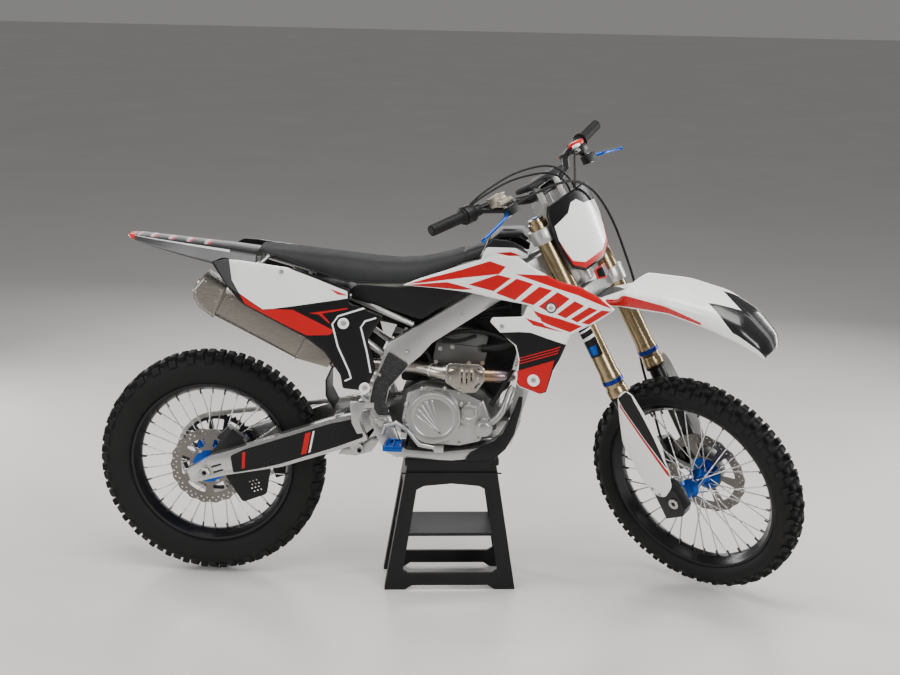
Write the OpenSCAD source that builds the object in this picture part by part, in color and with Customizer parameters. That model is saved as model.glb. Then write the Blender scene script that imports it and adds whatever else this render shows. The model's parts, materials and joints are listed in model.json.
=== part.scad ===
// Dirt bike standing on a paddock stand.
// X points forward, Y to the rider's left, Z up, millimetres.
// The origin is on the floor, under the middle of the machine. Heights of the machine's own
// pieces are written from a datum a little below the floor, and the stand's height places them.

/* [Chassis] */
// Rear end of the swingarm pivot: distance behind the origin
pivot_back = 172; // [165:1:180]
// Height of the swingarm pivot above the machine's datum
pivot_z = 545; // [535:1:555]
// Swingarm length, pivot to rear axle
swingarm_len = 568; // [560:1:690]
// Angle at which the swingarm hangs below the horizontal, degrees
swingarm_droop = 18.5; // [16:0.5:20]
// Outer spread of the swingarm beams
swingarm_w = 248; // [244:1:256]
// Lean of the steering axis from the vertical, degrees
rake = 27; // [26:0.5:28]
// Height of the point where the steering axis is measured from
steer_base_z = 345; // [340:1:350]
// Distance of that point ahead of the origin
steer_base_x = 730; // [725:1:760]
// Steering angle at rest, turned to the right
steer_rest = 37; // [0:1:43]

/* [Wheels] */
// Rear tyre radius over the knobs
rear_tyre_r = 350; // [330:1:360]
// Rear tyre width
rear_tyre_w = 112; // [90:1:122]
// Rear rim radius at the bead seat
rear_bead_r = 241; // [228:1:250]
// Front tyre radius over the knobs
front_tyre_r = 350; // [330:1:360]
// Front tyre width
front_tyre_w = 98; // [76:1:112]
// Front rim radius at the bead seat
front_bead_r = 267; // [254:1:280]
// Spokes in each wheel
spoke_count = 36; // [28:4:36]
// Spoke diameter
spoke_d = 4; // [3:0.5:5]
// Axle diameter
axle_d = 22; // [18:1:26]
// Bore through each hollow axle
axle_bore = 14; // [8:1:16]
// Rear brake disc radius
rear_disc_r = 120; // [110:1:125]
// Front brake disc radius
front_disc_r = 135; // [120:1:140]
// Brake disc thickness
disc_t = 4; // [3:0.5:5]
// Rear sprocket radius at the tooth tips
sprocket_r = 130; // [110:1:135]

/* [Fork and handlebar] */
// Distance of each fork leg from the centre plane
fork_y = 100; // [96:1:106]
// Distance of the fork legs ahead of the steering axis
fork_offset = 22; // [18:1:26]
// Distance of the front axle ahead of the steering axis
axle_offset = 55; // [50:1:60]
// Outer fork tube diameter
fork_d = 57; // [52:1:60]
// Inner fork tube diameter
slider_d = 48; // [44:1:49]
// Height of the fork's top above the front axle, along the fork
fork_top = 943; // [930:1:960]
// Height of the outer tube's lower end, along the fork
fork_lug = 362; // [340:1:380]
// Handlebar width
bar_w = 840; // [760:5:960]
// Handlebar diameter at the grips
bar_d = 22; // [20:0.5:24]
// Handlebar diameter at the clamp
bar_clamp_d = 28; // [26:0.5:32]
// Grip length
grip_len = 122; // [100:1:130]

/* [Engine and exhaust] */
// Width of the crankcase
case_w = 220; // [200:2:230]
// Clutch cover radius
clutch_r = 80; // [70:1:86]
// Exhaust header diameter
header_d = 40; // [36:1:44]
// Silencer body height
silencer_h = 94; // [84:1:100]
// Footpeg length outside the frame
peg_len = 78; // [60:1:90]

/* [Stand] */
// Stand height
stand_h = 419; // [415:1:430]
// Stand width at the floor, along the machine
stand_w = 400; // [360:5:440]
// Stand depth at the floor, across the machine
stand_d = 198; // [190:2:230]
// Width of the top plate along the machine
stand_top_w = 268; // [240:4:300]
// Angle of the stand about the vertical, degrees
stand_yaw = 7.5; // [0:0.5:10]

/* [Hidden] */
$fn = 48;
plane_y = -13;              // the machine's centre plane, right of the middle of its box
rail_z = 428;               // underside of the cradle rails above the machine's datum
play = 0.4;                 // diametral clearance of a fixed pin
run_play = 1;               // diametral clearance of a turning shaft
touch = 0.3;                // gap between soft or curved neighbours
pivot = [-pivot_back, 0, pivot_z];
rear_axle_at = [-pivot_back - swingarm_len * cos(swingarm_droop), 0,
    pivot_z - swingarm_len * sin(swingarm_droop)];
steer_base = [steer_base_x, 0, steer_base_z];
hub_half = 82;              // half length of a hub with its spacers
arm_out = swingarm_w / 2;   // outer face of a swingarm beam
arm_in = arm_out - 36;      // inner face of a swingarm beam
pivot_bolt_d = 18;
stem_d = 28;
chain_y = 70;               // plane of the chain
chain_pitch_r = sprocket_r - 4;
drive_tip_r = 37;
drive_pitch_r = 33;
drive_at = [-88, 0, 556];   // output shaft of the gearbox
chain_h = 15;               // height of a chain plate
disc_y_rear = -66;
disc_y_front = 62;

// ---------- general shapes ----------
module pair() { children(); mirror([0, 1, 0]) children(); }
module placed() translate([0, plane_y, stand_h - rail_z]) children();

// a profile in the side view, extruded across the machine
module side(points, y0, y1)
    translate([0, y1, 0]) rotate([90, 0, 0]) linear_extrude(height = y1 - y0) polygon(points);

// a plan-view strip of the given thickness, outer edge first, for the right side
module strip(points, t)
    linear_extrude(height = 1300)
        polygon(concat(points, [for (i = [len(points) - 1:-1:0]) points[i] + [0, t]]));

// a panel: side-view outline cut from a plan-view strip
module panel(outline, plan, t)
    intersection() { side(outline, -300, 0); strip(plan, t); }

module along(p, q) {
    v = q - p;
    translate(p) rotate([0, acos(v.z / norm(v)), atan2(v.y, v.x)]) children();
}
module rod(p, q, d) along(p, q) cylinder(h = norm(q - p), d = d);
module bar(points, d) {
    for (i = [0:len(points) - 2]) rod(points[i], points[i + 1], d);
    for (i = [1:len(points) - 2]) translate(points[i]) sphere(d = d + 0.6);
}
module ypin(x, z, y0, y1, d) translate([x, y1, z]) rotate([90, 0, 0]) cylinder(h = y1 - y0, d = d);

// the steered frame: x ahead of the steering axis, z along it from the axle's level
module steered() translate(steer_base) rotate([0, -rake, 0]) rotate([0, 0, -steer_rest]) children();
module unsteered() translate(steer_base) rotate([0, -rake, 0]) children();

// a thin sheet: rows of points and the same rows shifted by t
module sheet(rows, t) {
    m = len(rows);
    n = len(rows[0]);
    top = [for (r = rows) for (p = r) p];
    pts = concat(top, [for (p = top) p + t]);
    k = m * n;
    quads = [for (i = [0:m - 2]) for (j = [0:n - 2]) [i * n + j, i * n + j + 1,
        (i + 1) * n + j + 1, (i + 1) * n + j]];
    upper = [for (q = quads) each [[q[0], q[1], q[2]], [q[0], q[2], q[3]]]];
    lower = [for (f = upper) [f[2] + k, f[1] + k, f[0] + k]];
    rim = concat([for (j = [0:n - 2]) [j, j + 1]],
        [for (i = [0:m - 2]) [i * n + n - 1, (i + 1) * n + n - 1]],
        [for (j = [n - 2:-1:0]) [(m - 1) * n + j + 1, (m - 1) * n + j]],
        [for (i = [m - 2:-1:0]) [(i + 1) * n, i * n]]);
    walls = [for (e = rim) each [[e[1], e[0], e[0] + k], [e[1], e[0] + k, e[1] + k]]];
    polyhedron(pts, concat(upper, lower, walls));
}

// a solid through m rings of n points each
module loft(ring, m, n) polyhedron(ring, concat([[for (k = [n - 1:-1:0]) k]],
    [for (i = [0:m - 2]) for (k = [0:n - 1]) let (a = i * n + k, b = i * n + (k + 1) % n)
        each [[a, b, b + n], [a, b + n, a + n]]],
    [[for (k = [0:n - 1]) (m - 1) * n + k]]));

// a hose swept along smoothed points
function blend(p, i, t) = let (a = p[max(i - 1, 0)], b = p[i], c = p[i + 1],
    d = p[min(i + 2, len(p) - 1)])
    0.5 * (2 * b + (c - a) * t + (2 * a - 5 * b + 4 * c - d) * t * t
        + (3 * b - a - 3 * c + d) * t * t * t);
function smooth(p, s) = concat([for (i = [0:len(p) - 2]) for (k = [0:s - 1])
    blend(p, i, k / s)], [p[len(p) - 1]]);
module hose(points, d, steps, sides) {
    p = smooth(points, steps);
    m = len(p);
    ring = [for (i = [0:m - 1]) let (v = p[min(i + 1, m - 1)] - p[max(i - 1, 0)],
        u = v / norm(v), a = cross(u, [0.31, 0.2, 0.93]), b = a / norm(a), c = cross(b, u))
        each [for (k = [0:sides - 1]) p[i] + d / 2 * (b * cos(360 * k / sides)
            + c * sin(360 * k / sides))]];
    loft(ring, m, sides);
}

// ---------- wheels ----------
module on_rear() translate(rear_axle_at) children();
module on_front() steered() translate([axle_offset, 0, 0]) children();
module turned() rotate([-90, 0, 0]) rotate_extrude($fn = 96) children();

module tyre(bead_r, tip_r, w) {
    s = tip_r - bead_r;
    half = [[bead_r, w * 0.26], [bead_r + 14, w * 0.27], [bead_r + 15, w * 0.40],
        [bead_r + s * 0.35, w * 0.47], [bead_r + s * 0.62, w * 0.5], [tip_r - 12, w * 0.49],
        [tip_r - 3, w * 0.4], [tip_r, w * 0.2]];
    n = len(half);
    hollow = [[bead_r + 18, w * 0.2], [bead_r + s * 0.4, w * 0.38], [bead_r + s * 0.64, w * 0.4],
        [tip_r - 26, w * 0.22]];
    turned() difference() {
        polygon(concat(half, [for (i = [n - 1:-1:0]) [half[i].x, -half[i].y]]));
        polygon(concat([[bead_r - 1, w * 0.2]], hollow,
            [for (i = [3:-1:0]) [hollow[i].x, -hollow[i].y]], [[bead_r - 1, -w * 0.2]]));
    }
}
module rim(bead_r, w) {
    in_w = w * 0.27 + touch;    // the tyre's beads sit inside the flanges
    turned() polygon([[bead_r - 12, -8], [bead_r - 12, 8], [bead_r - 7, in_w + 4],
        [bead_r + 13, in_w + 4], [bead_r + 13, in_w], [bead_r - touch, in_w],
        [bead_r - 5, 8], [bead_r - 5, -8], [bead_r - touch, -in_w], [bead_r + 13, -in_w],
        [bead_r + 13, -in_w - 4], [bead_r - 7, -in_w - 4]]);
}
module hub(flange_r, flange_y, plus_r, plus_y, minus_r, minus_y) {
    bore = axle_d / 2 + run_play / 2;
    turned() polygon([[bore, -hub_half], [20, -hub_half], [20, -minus_y], [minus_r, -minus_y],
        [minus_r, -minus_y + 8], [flange_r, -flange_y - 4], [flange_r, -flange_y + 4],
        [22, -flange_y + 10], [22, flange_y - 10], [flange_r, flange_y - 4],
        [flange_r, flange_y + 4], [plus_r, plus_y - 8], [plus_r, plus_y], [20, plus_y],
        [20, hub_half], [bore, hub_half]]);
}
// spoke k of a wheel, from the hub flange to the rim well
module spokes(bead_r, flange_r, flange_y) {
    lean = 360 / spoke_count * 2.6;
    rim_r = bead_r - 12 - touch - 0.2;
    for (k = [0:spoke_count - 1]) {
        s = (k % 2 == 0) ? 1 : -1;
        cross_way = (floor(k / 2) % 2 == 0) ? 1 : -1;
        a = 360 * k / spoke_count;
        y0 = s * flange_y;
        start = flange_r + touch + spoke_d * 0.36;
        rod([start * cos(a + cross_way * lean), y0, start * sin(a + cross_way * lean)],
            [rim_r * cos(a), s * 4, rim_r * sin(a)], spoke_d, $fn = 16);
    }
}
module disc_ring(r, inner, y) {
    ypin_hole = 8;
    rotate([90, 0, 0]) translate([0, 0, -y - disc_t / 2]) linear_extrude(height = disc_t)
        difference() {
            circle(r = r, $fn = 96);
            circle(r = inner);
            for (a = [0:60:300]) rotate(a + 15) translate([r - 16, 0]) circle(d = ypin_hole);
            for (a = [0:60:300]) rotate(a + 45) translate([r - 40, 0]) circle(d = 22);
        }
}
rear_flange = [34, 34];
front_flange = [30, 32];

module rear_tyre() color("#151515") on_rear() tyre(rear_bead_r, rear_tyre_r, rear_tyre_w);
module front_tyre() color("#151515") on_front() tyre(front_bead_r, front_tyre_r, front_tyre_w);
module rear_rim() color("#1b1b1d") on_rear() rim(rear_bead_r, rear_tyre_w);
module front_rim() color("#1b1b1d") on_front() rim(front_bead_r, front_tyre_w);
module rear_hub() color("#1f5fc4") on_rear()
    hub(rear_flange.x, rear_flange.y, 70, chain_y - 3, 58, -disc_y_rear - disc_t / 2);
module front_hub() color("#1f5fc4") on_front()
    hub(front_flange.x, front_flange.y, 52, disc_y_front - disc_t / 2, 28, 62);
module rear_spokes() color("silver") on_rear()
    spokes(rear_bead_r, rear_flange.x, rear_flange.y);
module front_spokes() color("silver") on_front()
    spokes(front_bead_r, front_flange.x, front_flange.y);
module rear_disc() color("#a8abb0") on_rear() disc_ring(rear_disc_r, 48, disc_y_rear);
module front_disc() color("#a8abb0") on_front() disc_ring(front_disc_r, 42, disc_y_front);
module rear_sprocket() color("#3a3a3e") on_rear() rotate([90, 0, 0])
    translate([0, 0, -chain_y - 3]) linear_extrude(height = 6) difference() {
        circle(r = sprocket_r, $fn = 96);
        circle(r = 60);
        for (a = [0:45:315]) rotate(a) translate([(sprocket_r + 62) / 2, 0])
            circle(r = (sprocket_r - 76) / 2 - 6);
    }

// ---------- chassis ----------
head_h = [700, 862];       // ends of the steering head along its axis
clamp_low = [650, 694];    // lower clamp along the steering axis
clamp_top = [870, 912];    // upper clamp along the steering axis
head_d = 58;
frame_w = 244;             // across the pivot plates
rail_out = 108;            // outer face of a cradle rail

spar_side = [[-158, 786], [-71, 838], [79, 932], [200, 1006], [325, 1078], [352, 1088],
    [400, 985], [396, 968], [300, 974], [165, 917], [60, 850], [-27, 791], [-60, 752],
    [-94, 722], [-152, 648], [-162, 600], [-148, 545], [-205, 530], [-212, 610], [-200, 665]];
frame_plan = [[-260, -frame_w / 2], [-60, -120], [110, -104], [262, -68], [322, -44],
    [440, -30]];

module head_tube_solid() unsteered() translate([0, 0, head_h[0]])
    cylinder(h = head_h[1] - head_h[0], d = head_d);
module main_frame() color("#c9c9c7") difference() {
    union() {
        pair() intersection() {
            side(spar_side, -300, 0);
            union() {
                strip(frame_plan, 16);
                translate([0, 0, 700]) strip([for (p = frame_plan) p + [0, 1]], 28);
            }
        }
        head_tube_solid();
        // cradle rails under the crankcase, joined to the pivot plates
        pair() side([[-138, 478], [-100, 456], [0, 452], [120, 470], [176, 508], [204, 560],
            [240, 560], [214, 490], [160, 446], [40, rail_z], [-60, rail_z], [-138, 434]],
            -rail_out, -rail_out + 30);
        pair() side([[-212, 560], [-148, 560], [-112, 470], [-124, 434], [-160, 450],
            [-190, 500]], -frame_w / 2, -frame_w / 2 + 16);
        // seats of the side panels' lower bolts
        pair() ypin(-214, 654, -frame_w / 2, -frame_w / 2 + 16, 24);
        // down tube and its cross lug
        side([[204, 560], [240, 560], [262, 640], [330, 838], [368, 944], [384, 1000],
            [350, 1000], [300, 868], [222, 650]], -24, 24);
        side([[204, 530], [228, 530], [240, 572], [208, 572]], -rail_out + 2, rail_out - 2);
        // webs between the head and the spars
        side([[300, 985], [390, 975], [345, 1080], [318, 1070]], -34, 34);
    }
    unsteered() translate([0, 0, head_h[0] - 1])
        cylinder(h = head_h[1] - head_h[0] + 2, d = stem_d + run_play);
    ypin(pivot.x, pivot.z, -130, 130, pivot_bolt_d + play);
}
module pivot_bolt() color("#77797d") {
    ypin(pivot.x, pivot.z, -128, 128, pivot_bolt_d);
    ypin(pivot.x, pivot.z, -130, -122, 30);
    ypin(pivot.x, pivot.z, 122, 130, 30);
}
guard_out = 126;
module frame_guards() color("#17181a") pair()
    difference() {
        side([[-155, 762], [-94, 724], [-154, 650], [-163, 600], [-150, 566], [-186, 566],
            [-209, 611], [-197, 662]], -guard_out, -122);
        ypin(pivot.x, pivot.z, -131, -100, 31);
    }
tube_y = 83.6;             // subframe tubes lie between the spars
spar_in = 91.5;            // inner face of a spar above the swingarm
module subframe() color("#c4c4c2") {
    pair() {
        bar([[-86, -tube_y, 836], [-300, -tube_y, 926], [-556, -70, 1000]], 18);
        rod([-174, -tube_y, 742], [-470, -76, 966], 18);
        // seat of the fender
        translate([-560, -62, 996]) cube([14, 16, 24.5]);
        translate([-396, -tube_y - 8, 955]) cube([8, 16, 32.6]);
    }
    rod([-300, -tube_y, 926], [-300, tube_y, 926], 14);
    rod([-548, -72, 998], [-548, 72, 998], 14);
}

// ---------- swingarm and rear end ----------
function arm_point(s, v) = rear_axle_at + [s * cos(swingarm_droop) - v * sin(swingarm_droop), 0,
    s * sin(swingarm_droop) + v * cos(swingarm_droop)];
function arm_line(list) = [for (p = list) let (q = arm_point(p.x, p.y)) [q.x, q.z]];
arm_front = swingarm_len;
crank_at = [-250, 428];    // pin of the bell crank under the swingarm
module swingarm() color("#bfc1c3") difference() {
    union() {
        pair() {
            side(arm_line([[-52, -22], [-52, 22], [30, 40], [120, 44], [410, 50],
                [arm_front - 60, 44], [arm_front - 60, -42], [410, -48], [230, -50], [60, -28]]),
                -arm_out, -arm_in);
            side(arm_line([[arm_front - 110, -46], [arm_front - 110, 46], [arm_front - 30, 40],
                [arm_front, 33], [arm_front + 24, 18], [arm_front + 24, -18], [arm_front, -33],
                [arm_front - 30, -40]]), -104, -84);
        }
        side(arm_line([[398, -26], [398, 22], [432, 22], [432, -26]]), -arm_in - 8, arm_in + 8);
        // ears that carry the bell crank
        pair() side(arm_line([[406, -16], [428, -16], [472, -76], [468, -98], [446, -98]]),
            -49, -41);
    }
    ypin(rear_axle_at.x, rear_axle_at.z, -200, 200, axle_d + play);
    ypin(crank_at.x, crank_at.y, -60, 60, 16 + play);
    ypin(pivot.x, pivot.z, -200, 200, pivot_bolt_d + play);
}
module rear_axle() color("#b5b8bb") difference() {
    union() {
        ypin(rear_axle_at.x, rear_axle_at.z, -arm_out - 10, arm_out + 8, axle_d);
        ypin(rear_axle_at.x, rear_axle_at.z, -arm_out - 12, -arm_out, 36, $fn = 6);
        ypin(rear_axle_at.x, rear_axle_at.z, arm_out, arm_out + 8, 34);
    }
    ypin(rear_axle_at.x, rear_axle_at.z, -200, 200, axle_bore);
}
module rear_disc_guard() color("#141414") difference() {
    side(arm_line([[46, -34], [70, -132], [150, -128], [196, -40]]), -94, -90);
    side(arm_line([[-52, -22], [60, -28], [230, -50], [410, -48], [410, 60], [-52, 60]]), -130, -80);
    ypin(rear_axle_at.x, rear_axle_at.z, -200, 0, 50);
}
caliper_a = 50;
module rear_caliper() color("#1a1a1c") on_rear() difference() {
    union() {
        // carrier between the hub spacer and the arm
        rotate([0, -caliper_a, 0]) side([[-20, -20], [-20, 20], [104, 26], [150, 22], [150, -22],
            [104, -26]], -arm_in + touch, -hub_half - 1);
        rotate([0, -caliper_a, 0]) side([[94, -40], [94, 40], [142, 36], [142, -36]], -86, -46);
    }
    ypin(0, 0, -200, 0, axle_d + play);
    rotate([90, 0, 0]) translate([0, 0, -disc_y_rear - disc_t / 2 - 2.5])
        cylinder(h = disc_t + 5, r = rear_disc_r + 5, $fn = 96);
}

// chain: two rows of plates outside the sprocket, joined by pins on the straight runs
chain_rear = [rear_axle_at.x, rear_axle_at.z];
chain_front = [drive_at.x, drive_at.z];
module belt_outline(grow) {
    d = chain_front - chain_rear;
    len_d = norm(d);
    a = atan2(d.y, d.x);
    r1 = chain_pitch_r + grow;
    r2 = drive_pitch_r + grow;
    tilt = acos((r1 - r2) / len_d);
    translate(chain_rear) circle(r = r1, $fn = 96);
    translate(chain_front) circle(r = r2, $fn = 48);
    polygon([for (s = [1, -1]) each
        let (u = [cos(a + s * tilt), sin(a + s * tilt)])
            s == 1 ? [chain_rear + r1 * u, chain_front + r2 * u]
                : [chain_front + r2 * u, chain_rear + r1 * u]]);
}
module chain_row(y) translate([0, y + 3, 0]) rotate([90, 0, 0]) linear_extrude(height = 3)
    difference() { belt_outline(chain_h / 2); belt_outline(-chain_h / 2); }
module drive_chain() color("#6b6b6e") {
    chain_row(chain_y + 5);
    chain_row(chain_y - 8);
    d = chain_front - chain_rear;
    a = atan2(d.y, d.x);
    tilt = acos((chain_pitch_r - drive_pitch_r) / norm(d));
    for (s = [1, -1]) for (f = [0.3:0.1:0.8]) {
        u = [cos(a + s * tilt), sin(a + s * tilt)];
        p = (chain_rear + chain_pitch_r * u) * (1 - f) + (chain_front + drive_pitch_r * u) * f;
        ypin(p.x, p.y, chain_y - 6, chain_y + 6, 9);
    }
}
module chain_guide() color("#161616") difference() {
    side(arm_line([[150, -128], [150, -34], [226, -34], [226, -110], [206, -128]]),
        chain_y - 12, arm_in - touch);
    translate([0, chain_y + 9, 0]) rotate([90, 0, 0]) linear_extrude(height = 18)
        belt_outline(chain_h / 2 + touch);
    side(arm_line([[140, -70], [140, 0], [240, 0], [240, -70]]), 0, chain_y + 9);
}

module shock_linkage() color("#8d9092") {
    // bell crank, pull rods and their lower bracket
    pair() side([[-316, 412], [-296, 432], [-238, 446], [-206, 470], [-188, 462],
        [-214, 424], [-262, 408]], -40, -28);
    ypin(-300, 420, -40, 40, 16);
    ypin(crank_at.x, crank_at.y, -52, 52, 16);
    ypin(-202, 460, -48, 48, 16);
    ypin(crank_at.x, crank_at.y, -29, 29, 30);
}
shock_low = [-262, 470];
shock_top = [-130, 778];
module rear_shock() color("#c5c7c9") {
    along([shock_low.x, 0, shock_low.y], [shock_top.x, 0, shock_top.y]) {
        cylinder(h = 130, d = 18);
        translate([0, 0, 96]) cylinder(h = 190, d = 70);
        translate([0, 0, 284]) cylinder(h = 50, d = 52);
    }
    rod([-254.3, 0, 443], [shock_low.x, 0, shock_low.y + 10], 24);
    ypin(shock_top.x, shock_top.y, -spar_in + touch, spar_in - touch, 22);
}

// ---------- engine ----------
case_half = case_w / 2;
module engine() color("#9b9d9e") difference() {
    union() {
        side([[-122, 500], [-60, 480], [90, 480], [165, 520], [170, 590], [120, 640], [60, 662],
            [-60, 662], [-118, 630]], -case_half + 40, case_half - 40);
        side([[-150, 520], [-184, 530], [-184, 560], [-150, 575], [-110, 590], [-110, 510]], -52, 52);
        side([[-80, 446], [60, 446], [110, 481], [-100, 481]], -56, 56);
        // cylinder, head and head cover, leaning forward
        side([[-36, 655], [104, 655], [116, 712], [-24, 724]], -62, 62);
        side([[-30, 720], [122, 708], [136, 770], [-18, 782]], -72, 72);
        side([[-12, 780], [128, 769], [136, 800], [110, 822], [10, 830]], -64, 64);
        // mount lug to the down tube
        side([[150, 530], [204, 540], [204, 560], [160, 575]], -22, 22);
        side([[150, 530], [203, 532], [203, 568], [150, 580]], -22, 22);
    }
    ypin(pivot.x, pivot.z, -70, 70, pivot_bolt_d + play);
    // room for the chain around the drive sprocket
    ypin(drive_at.x, drive_at.z, chain_y - 13, 200, 110);
    side([[-88, 500], [-88, 611], [-200, 611], [-200, 480]], chain_y - 13, 200);
}
clutch_at = [-16, 574];
module engine_covers() color("#b7b8b8") {
    // right cover with the round clutch cover, filter cover and water pump
    side([[-112, 560], [-96, 640], [-40, 662], [60, 652], [126, 620], [150, 560], [120, 500],
        [60, 484], [-60, 488], [-104, 520]], -case_half - 22, -case_half + 40);
    ypin(clutch_at.x, clutch_at.y, -160, -case_half - 21, clutch_r * 2);
    ypin(88, 588, -146, -case_half - 21, 50);
    ypin(132, 545, -150, -case_half + 30, 52);
    // left ignition cover
    difference() {
        side([[-58, 520], [-66, 600], [-20, 650], [70, 640], [120, 580], [100, 510], [20, 486]],
            case_half - 40, case_half + 6);
        ypin(drive_at.x, drive_at.z, 0, 200, 110);
    }
    ypin(26, 566, case_half + 5, case_half + 24, 120);
    // drive sprocket and its shaft
    ypin(drive_at.x, drive_at.z, chain_y - 3, chain_y + 3, drive_tip_r * 2);
    ypin(drive_at.x, drive_at.z, chain_y - 13, chain_y + 14, 24);
}
module radiators() color("#8f9396") {
    pair() difference() {
        side([[212, 728], [260, 722], [304, 902], [256, 908]], -150, -60);
        side([[232, 748], [254, 745], [286, 884], [264, 888]], -200, -138);
    }
    pair() {
        // lugs that bolt each core to the down tube and to its shroud
        side([[262, 740], [282, 740], [290, 770], [270, 770]], -61, -24 - touch);
        side([[240, 696], [266, 696], [262, 730], [244, 730]], -150, -140);
    }
}
module coolant_pipes() color("#9a9c9e") hose([[153.3, -136, 560.7], [172, -135, 576],
    [186, -132, 597], [196, -124, 622], [206, -110, 650], [216, -104, 662]], 22, 3, 12);
header_y = -112;
header_end = [-262, -92, 710];
header_path = [[116, 0, 686], [180, -4, 690], [210, -48, 692], [196, -92, 694], [150, -110, 696],
    [10, header_y, 700], [-90, -72, 706], [-200, -71, 706], header_end];
module exhaust_header() color("#a08d72") {
    hose(header_path, header_d, 2, 16);
    // stamped heat shield over the front of the pipe
    side([[16, 680], [18, 732], [30, 738], [118, 736], [131, 724], [131, 688], [106, 650],
        [66, 645]], -148, -138);
    side([[30, 690], [30, 712], [112, 710], [112, 688]], -140, -120);
}
silencer_from = [-292, 712];
silencer_to = [-716, 934];
silencer_y = -112;
silencer_len = norm(silencer_to - silencer_from);
silencer_u = (silencer_to - silencer_from) / silencer_len;
// a side-view point s along the silencer's axis and o above it
function at(s, o) = silencer_from + silencer_u * s + [silencer_u.y, -silencer_u.x] * o;
module silencer() color("#b2aca4") difference() {
    silencer_body();
    hose(header_path, header_d + 2 * touch, 2, 16);
}
module silencer_body() {
    n = silencer_len;
    h = silencer_h / 2;
    // six-sided body, end cap and entry cone
    intersection() {
        side([at(128, -h + 7), at(118, h - 11), at(n - 72, h + 1), at(n - 78, -h - 1)],
            silencer_y - 52, silencer_y + 40);
        along([silencer_from.x, silencer_y, silencer_from.y],
            [silencer_to.x, silencer_y, silencer_to.y])
            linear_extrude(height = 500) polygon([[-h, -26], [-h, 26], [-h + 14, 40], [h - 14, 40],
                [h, 26], [h, -26], [h - 14, -46], [-h + 14, -46]]);
    }
    side([at(36, -18), at(36, 18), at(119, h - 11), at(129, -h + 7)], silencer_y - 34,
        silencer_y + 30);
    side([at(n - 79, -h - 2), at(n - 73, h + 3), at(n + 2, h + 3), at(n + 10, 0), at(n - 1, -h + 24),
        at(n - 27, -h + 7)], silencer_y - 50, silencer_y + 42);
    rod(header_end, [at(38, 0).x, silencer_y, at(38, 0).y], header_d + 4);
}

// ---------- controls on the chassis ----------
peg_x = -132;
peg_z = 496;
module footpegs() color("#2a50b8") pair() {
    side([[peg_x - 26, peg_z - 24], [peg_x + 26, peg_z - 24], [peg_x + 20, peg_z - 2],
        [peg_x - 20, peg_z - 2]], -136, -122 - touch);
    difference() {
        translate([peg_x - 28, -136 - peg_len, peg_z - 14]) cube([56, peg_len, 16]);
        translate([peg_x - 20, -130 - peg_len, peg_z - 20]) cube([40, peg_len - 12, 30]);
    }
    translate([peg_x - 3, -132 - peg_len, peg_z - 14]) cube([6, peg_len - 6, 14]);
}
module brake_pedal() color("#b9bbbd") {
    bar([[-172, -146, 506], [-160, -148, 540], [-128, -150, 552], [-92, -152, 530],
        [-56, -156, 488], [-10, -160, 482]], 13);
    translate([-12, -178, 474]) cube([28, 30, 16]);
    ypin(-172, 506, -153, -122 - touch, 18);
}
module rear_master_cylinder() color("#1a1a1c") {
    side([[-266, 607], [-219, 608], [-236, 560], [-236, 545], [-224, 515], [-244, 512], [-260, 545]],
        -148, -128);
    side([[-240, 604], [-196, 604], [-196, 588], [-236, 588]], -129, -guard_out - touch);
}
module shift_lever() color("#b0b2b4") {
    bar([[-70, 126, 492], [-20, 136, 476], [44, 140, 500]], 11);
    ypin(-70, 492, 70 + touch, 132, 14);
    ypin(44, 500, 136, 168, 12);
}

// ---------- seat, tank and body panels ----------
// stations of the seat: place, top and bottom on the centre plane, half width, side drop
seat_rows = [[-552, 1050, 1042, 58, 6], [-520, 1046, 1030, 70, 16], [-438, 1040, 1006, 86, 24],
    [-389, 1036, 988, 90, 27], [-288, 1028, 958, 92, 28], [-200, 1020, 955, 90, 28],
    [-137, 1017, 958, 87, 28], [-67, 1023, 966, 82, 28], [0, 1038, 999, 76, 26],
    [60, 1057, 1026, 70, 22], [104, 1073, 1042, 64, 16], [122, 1079, 1074, 58, 8]];
module seat() color("#2b2c2e") {
    ring = [for (r = seat_rows) each [[r[0], -r[3] + 5, r[2]], [r[0], -r[3], r[1] - r[4] - 4],
        [r[0], -r[3] * 0.86, r[1] - r[4] * 0.5], [r[0], -r[3] * 0.45, r[1] - 2],
        [r[0], r[3] * 0.45, r[1] - 2], [r[0], r[3] * 0.86, r[1] - r[4] * 0.5],
        [r[0], r[3], r[1] - r[4] - 4], [r[0], r[3] - 5, r[2]]]];
    loft(ring, len(seat_rows), 8);
}
module fuel_tank() color("#d8d8d4")
    side([[-180, 898], [-60, 872], [40, 926], [170, 1000], [152, 1035.2], [108, 1033.6],
        [60, 1025.6], [0, 998.6], [-67, 965.6], [-137, 957.6], [-200, 954.6], [-270, 956]],
        -66, 66);
module air_box() color("#141415")
    difference() {
        side([[-430, 900], [-300, 846], [-190, 836], [-190, 872], [-290, 940], [-400, 952]],
            -60, 60);
        ypin(-300, 926, -100, 100, 14 + 2 * touch);
    }
module tank_covers() color("#141416") pair() {
    panel([[-264, 951], [-242, 958], [-134, 954], [-64, 962], [0, 990], [63, 990], [63, 946],
        [-60, 858], [-156, 888], [-233, 906], [-268, 916]],
        [[-280, -108], [-100, -111], [80, -110]], 4);
    // post that carries the cover on the tank
    ypin(-60, 920, -108, -66 - touch, 16);
}
module top_cover() color("#e4e4e2") {
    side([[132, 1092], [160, 1114], [226, 1118], [246, 1102], [240, 1094], [220, 1106],
        [164, 1102], [140, 1086]], -62, 62);
    pair() side([[108, 1034], [127, 1080], [143, 1097], [198, 1092], [248, 1065], [246, 1046],
        [205, 1038]], -72, -62);
    side([[146, 1046], [168, 1014], [190, 1024], [190, 1104], [160, 1104]], -22, 22);
}
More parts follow.
